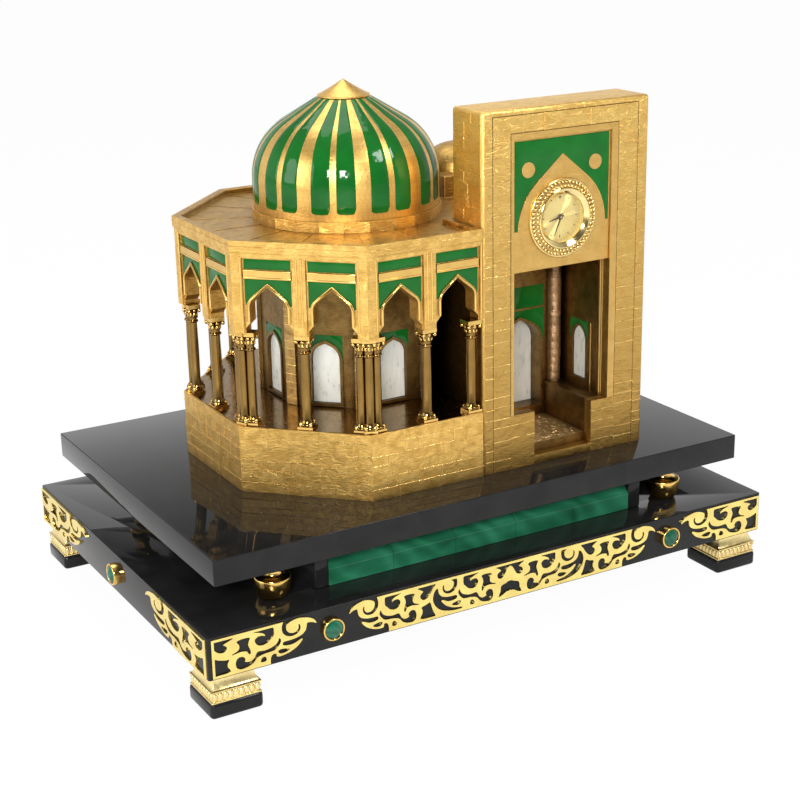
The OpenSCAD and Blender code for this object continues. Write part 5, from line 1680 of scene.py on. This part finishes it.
    def grooves(self) -> None:
        """Dark lines cut round the portal's front and round the band of the opening."""
        low, gap = self.low, self.groove
        front, back = low.y - self.groove_out, low.y + self.groove_back
        left, right, top = self.border
        band_left, band_right, band = self.band
        carver = Carver()
        for start, end, bottom, head in ((left, left + gap, low.z, top), (right - gap, right, low.z, top),
                                         (left, right, top - gap, top),
                                         (band_left - gap, band_left, self.wall_top, band + gap),
                                         (band_right, band_right + gap, self.bench_top, band + gap),
                                         (band_left, band_right, band, band + gap)):
            carver.block((start, front, bottom), (end, back, head))
        carver.piece("portal_grooves", GROOVE)

    def porch_floor(self) -> None:
        """Rough floor of the porch between the low wall and the bench."""
        floor = self.low.z + self.landing
        left, right = self.steps_left + self.landing_side, self.steps_left + self.steps_w - self.landing_side
        front = self.low.y + self.tread + self.landing_front
        back = self.low.y + self.porch_d - self.landing_back
        carver = Carver()
        carver.block((left, front, floor), (right, back, floor + self.landing_t))
        carver.piece("porch_floor", COARSE_CAST)

    def porch_rubble(self) -> None:
        """Flat lumps strewn over the porch's floor, most of them near its front."""
        draw = random.Random(self.rubble_seed)
        start, width = self.steps_left + self.rubble_side, self.steps_w - 2 * self.rubble_side
        front = self.low.y + self.tread + self.rubble_front
        depth = self.porch_d - self.tread - self.rubble_ends
        carver = Carver()
        for _ in range(self.rubble):
            x = start + width * draw.random()
            y = front + depth * draw.random() ** 1.7
            size = draw.uniform(*self.rubble_r)
            radii = (size, size * draw.uniform(0.6, 1.0), draw.uniform(*self.rubble_h))
            carver.ball((x, y, self.low.z + self.landing), radii, detail=10)
        carver.piece("porch_rubble", COARSE_CAST)

    def panel_lines(self) -> None:
        """Polished line round the arch over the clock."""
        low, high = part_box("panel_enamel")
        middle, half = (low.x + high.x) / 2, (high.x - low.x) / 2
        arch = keel(half - self.spandrel_w, high.z - low.z - self.spandrel_h, steps=14)
        carver = Carver()
        carver.tube([(middle + x, low.y, low.z + z) for x, z in arch], self.line_r)
        carver.piece("panel_lines", RIM_GILT, crease=40)

    def porch_column(self) -> None:
        """Rough column in the porch's rear corner, built up of uneven rings."""
        draw = random.Random(self.column_seed)
        bottom, top, rings = self.bench_h, self.panel_z, self.column_rings
        profile = [(0.0, bottom)]
        for ring in range(rings):
            start, end = (bottom + (top - bottom) * number / rings for number in (ring, ring + 1))
            radius = draw.uniform(*self.column_r)
            ease, neck = (end - start) * 0.1, radius - self.column_neck
            profile += [(neck, start), (radius, start + ease), (radius, end - ease), (neck, end)]
        profile.append((0.0, top))
        foot = (self.right - self.column_side, self.low.y + self.porch_d - self.column_rear, self.low.z)
        carver = Carver()
        with carver.placed(spot(foot)):
            carver.turned(profile, steps=36)
        carver.piece("porch_column_rings", ROUGH_CAST, crease=30)

    def porch_beads(self) -> None:
        """Polished upright beads on the porch's right wall."""
        front = self.low.y + self.tread
        tall = self.panel_z - self.bench_h
        carver = Carver()
        for back, height, radius in ((0.0016, tall, 0.00156), (0.0089, tall / 2, 0.00106)):
            foot = Vector((self.right, front + back, self.bench_top))
            carver.tube([foot, foot + Vector((0, 0, height))], radius)
        carver.piece("porch_beads", COLUMN_GILT, crease=40)


@dataclass
class ClockInsert:
    """Pull-out clock insert: can, gasket, bezel, crystal, dial, hands and the works behind the dial."""

    body: str = "insert"
    outer_beads: int = 54
    inner_beads: int = 48
    outer_in: float = 0.0014
    inner_in: float = 0.0033
    outer_strand: float = 0.00093
    inner_strand: float = 0.00083
    slant: float = math.radians(38)
    rim_r: float = 0.0005
    lip_r: float = 0.0006
    seat: float = 0.0013
    dial_show: float = 0.0114
    dial_edge: float = 0.0001
    dial_back: float = 0.00045
    glass_edge: float = 0.0002
    hand_edge: float = 0.00005
    mark_r: float = 0.0097
    mark_half: float = 0.0002
    mark_h: float = 0.00018
    mark_edge: float = 0.00004
    long_mark: float = 0.0011
    short_mark: float = 0.0007
    twin_shift: float = 0.00035
    stone_in: float = 0.0024
    stone_lift: float = 0.0002
    stone: tuple[float, float, float] = (0.0005, 0.0005, 0.0004)

    def __post_init__(self) -> None:
        """Finds the clock's axis and the panel's face."""
        low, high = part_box("bezel")
        self.radius = (high.x - low.x) / 2
        self.axis = Vector(((low.x + high.x) / 2, high.y, (low.z + high.z) / 2))
        self.place = spot(self.axis, math.pi / 2, "X")

    def build(self) -> None:
        """Makes the visible face and dresses the works."""
        self.bezel()
        self.crystal()
        self.dial()
        for node, body in (("hour_hand", "hour"), ("minute_hand", "centre")):
            recast(node, BRONZE, self.hand_edge, segments=1, body=body, clamp=False)
        works = {STEEL: ("insert_can", "main_plate", "train_bridge", "stator", "button_cell", "rotor"),
                 BRASS: ("centre_wheel", "third_wheel", "motion_wheel", "hour_wheel"),
                 COPPER: ("coil",), RUBBER: ("gasket",), KNOB: ("setting_knob",)}
        for finish, nodes in works.items():
            for node in nodes:
                dress(node, finish)

    def bezel(self) -> None:
        """Bezel with two roped rings and a polished inner slope, over a darker bed whose colour is painted
        shade between the beads.
        """
        reach, show, rim, lip = self.radius, self.dial_show, self.rim_r, self.lip_r
        outer, inner, seat = reach - self.outer_in, reach - self.inner_in, show + self.seat
        step = outer - 0.0009
        profile = ([(seat, 0.0), (reach, 0.0)] + arc((reach - rim, 0.0007), rim, 0, 90, 4)
                   + [(outer, 0.0011), (step, 0.0013), (inner, 0.0016), (inner - 0.0008, 0.0021)]
                   + arc((inner - 0.0014, 0.0022), lip, 30, 120, 6)
                   + [(show + 0.0003, 0.0013), (show, 0.0011), (show, 0.0007), (seat, 0.0007), (seat, 0.0)])
        low, near, far = 0.001, outer + 0.0008, inner - 0.0007
        hollow = [(near, low), (near, 0.00118), (outer, 0.00118), (step, 0.00138), (inner, 0.00168),
                  (far, 0.0021), (far, low), (near, low)]
        rings, bed = Carver(), Carver()
        with rings.placed(self.place), bed.placed(self.place):
            rings.turned(profile, steps=96)
            bed.turned(hollow, steps=96)
            self.rope(rings, outer, 0.00128, self.outer_beads, self.outer_strand)
            self.rope(rings, inner, 0.00184, self.inner_beads, self.inner_strand)
        rings.piece("bezel_rings", BEZEL_GILT, ["bezel"], self.body, crease=40)
        bed.piece("bezel_bed", BED_GILT, body=self.body, crease=40)

    def rope(self, carver: Carver, radius: float, height: float, count: int, strand: float) -> None:
        """Ring of slanted strands.

        Args:
            carver: the mesh that takes it.
            radius: the ring's radius.
            height: the strands' height over the panel.
            count: number of strands.
            strand: half thickness of a strand.
        """
        for number in range(count):
            turn = Matrix.Rotation(FULL_TURN * number / count, 4, "Z")
            with carver.placed(turn @ spot((radius, 0, height), self.slant)):
                carver.ball((0, 0, 0), (strand * 1.02, strand * 0.7, strand), detail=12)

    def crystal(self) -> None:
        """Flat glass with a rounded edge."""
        low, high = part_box("crystal")
        radius, edge = (high.x - low.x) / 2, self.glass_edge
        back, front = self.axis.y - high.y, self.axis.y - low.y
        rounding = arc((radius - edge, front - edge), edge, 0, 90, 3)
        carver = Carver()
        with carver.placed(self.place):
            carver.turned([(0, back), (radius, back)] + rounding + [(0, front)], steps=96)
        carver.piece("crystal_glass", GLASS, ["crystal"], self.body, crease=40)

    def dial(self) -> None:
        """Brushed dial with hour marks and a small stone at three."""
        burst = Sunburst("sunburst_dial", centre=tuple(self.axis))
        recast("dial", burst, self.dial_edge, segments=1, body=self.body, crease=30)
        face = self.axis.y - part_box("hour_hand")[1].y - self.dial_back
        half, reach = self.mark_half, self.mark_r
        marks, stone = Carver(), Carver()
        with marks.placed(self.place):
            for hour in range(12):
                length = self.short_mark if hour % 3 else self.long_mark
                shifts = (0.0,) if hour else (-self.twin_shift, self.twin_shift)
                with marks.placed(Matrix.Rotation(-FULL_TURN * hour / 12, 4, "Z")):
                    for shift in shifts:
                        marks.block((shift - half, reach - length, face),
                                    (shift + half, reach, face + self.mark_h))
        marks.soften(self.mark_edge, segments=1, clamp=False)
        marks.piece("hour_marks", BRONZE, body=self.body)
        with stone.placed(self.place):
            stone.ball((reach - self.stone_in, 0, face + self.stone_lift), self.stone, detail=12)
        stone.piece("dial_stone", GLASS, body=self.body)


@dataclass
class Studio:
    """Floor, light and camera."""

    azimuth: float = math.radians(-29.8376)
    elevation: float = math.radians(18.5094)
    roll: float = math.radians(-1.1943)
    distance: float = 0.84506
    pan_right: float = 0.00269
    pan_up: float = 0.04502
    focal_px: float = 1668.167
    image_px: float = 800.0
    sensor: float = 36.0
    floor_half: float = 6.0
    floor_gap: float = 0.0001
    floor_glow: float = 0.965
    mirror_glow: float = 0.4
    overhead: Profile = ((0.0, 1.0), (0.12, 0.97), (0.36, 0.72), (0.65, 0.38), (1.0, 0.5))
    camera_side: Profile = ((0.0, 1.0), (0.3, 0.8), (0.7, 0.3), (1.0, 0.16))
    aim_height: float = 0.12
    near_clip: float = 0.01

    def build(self) -> None:
        """Makes the floor, the lamps, the world and the camera."""
        self.floor()
        self.world()
        self.lamps()
        self.camera()

    def floor(self) -> None:
        """Pale floor that the camera sees as white, with the object's shadow on it."""
        material = bpy.data.materials.new("studio_floor")
        sheet = NodeSheet(material)
        sheet.set(Base_Color=(0.9, 0.9, 0.9), Roughness=0.9, Specular_IOR_Level=0.1)
        light = sheet.node("ShaderNodeLightPath").outputs
        mirrored = sheet.math("MAXIMUM", light["Is Glossy Ray"], light["Is Transmission Ray"])
        seen = sheet.math("MAXIMUM", sheet.math("MULTIPLY", light["Is Camera Ray"], self.floor_glow),
                          sheet.math("MULTIPLY", mirrored, self.mirror_glow))
        glow = sheet.wire(sheet.node("ShaderNodeEmission"), Color=(1.0, 1.0, 1.0))
        blend = sheet.wire(sheet.node("ShaderNodeMixShader"), Fac=seen)
        for socket, shader in zip(blend.inputs[1:], (sheet.shader, glow)):
            sheet.feed(socket, shader.outputs[0])
        sheet.wire(sheet.tree.nodes["Material Output"], Surface=blend.outputs[0])
        mesh = bmesh.new()
        bmesh.ops.create_grid(mesh, x_segments=1, y_segments=1, size=self.floor_half)
        data = bpy.data.meshes.new("studio_floor")
        mesh.to_mesh(data)
        mesh.free()
        data.materials.append(material)
        floor = shown("studio_floor", data)
        floor.location.z = -self.floor_gap

    def world(self) -> None:
        """Room that is white at the horizon and dimmer overhead and on the camera's side."""
        world = bpy.data.worlds.new("studio_world")
        bpy.context.scene.world = world
        sheet = NodeSheet(world, "Generated")
        toward = (math.sin(self.azimuth), -math.cos(self.azimuth), 0.0)
        height = self.shades(sheet, sheet.parts(sheet.place)[2], self.overhead)
        side = self.shades(sheet, sheet.vector("DOT_PRODUCT", sheet.place, toward), self.camera_side)
        both = sheet.mix(1.0, height, side, blend_type="MULTIPLY")
        seen = sheet.node("ShaderNodeLightPath").outputs["Is Camera Ray"]
        sheet.set(Color=sheet.mix(seen, both, (1.0, 1.0, 1.0)))

    def shades(self, sheet: NodeSheet, value: bpy.types.NodeSocket, stops: Profile) -> bpy.types.NodeSocket:
        """Grey steps along a value."""
        return sheet.ramp(value, *((at, (grey, grey, grey)) for at, grey in stops))

    def lamp(self, name: str, place: Sequence[float], size: float, power: float) -> None:
        """Adds a square soft lamp aimed at the building.

        Args:
            name: the lamp's name.
            place: where it hangs.
            size: its side.
            power: its power in watts.
        """
        data = bpy.data.lights.new(name, "AREA")
        data.size = size
        data.energy = power
        aim = Vector((0, 0, self.aim_height)) - Vector(place)
        lamp = shown(name, data)
        lamp.matrix_world = Matrix.Translation(place) @ aim.to_track_quat("-Z", "Y").to_matrix().to_4x4()

    def lamps(self) -> None:
        """Two lamps in front, a soft one on the left and one above."""
        for name, place, size, power in (("left_front_lamp", (-0.72, -1.08, 0.66), 0.3, 17.0),
                                         ("right_front_lamp", (0.22, -0.5, 0.68), 0.18, 2.2),
                                         ("left_lamp", (-1.5, 0.1, 0.6), 0.8, 9.0),
                                         ("top_lamp", (0.1, 0.5, 1.5), 0.9, 7.0)):
            self.lamp(name, place, size, power)

    def camera(self) -> None:
        """Camera at the photograph's place."""
        back = Vector((math.sin(self.azimuth) * math.cos(self.elevation),
                       -math.cos(self.azimuth) * math.cos(self.elevation), math.sin(self.elevation)))
        level = (-back).cross(Vector((0, 0, 1))).normalized()
        upward = level.cross(-back)
        right = math.cos(self.roll) * level + math.sin(self.roll) * upward
        up = math.cos(self.roll) * upward - math.sin(self.roll) * level
        shelf = Vector((0, 0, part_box("base_slab")[1].z))
        place = shelf + back * self.distance + right * self.pan_right + up * self.pan_up
        data = bpy.data.cameras.new("photo_camera")
        data.sensor_width = self.sensor
        data.sensor_fit = "HORIZONTAL"
        data.lens = self.focal_px / self.image_px * self.sensor
        data.clip_start = self.near_clip
        camera = shown("photo_camera", data)
        camera.matrix_world = Matrix.Translation(place) @ Matrix((right, up, back)).transposed().to_4x4()
        bpy.context.scene.camera = camera


def main() -> None:
    """Builds the studio and every sub-assembly in order."""
    logging.basicConfig(level=logging.INFO, format="%(name)s: %(message)s")
    bpy.context.scene.view_settings.view_transform = "Standard"
    for assembly in (Studio, Stand, Pavilion, RoofAndDome, Portal, ClockInsert):
        assembly().build()


if __name__ == "__main__":
    main()
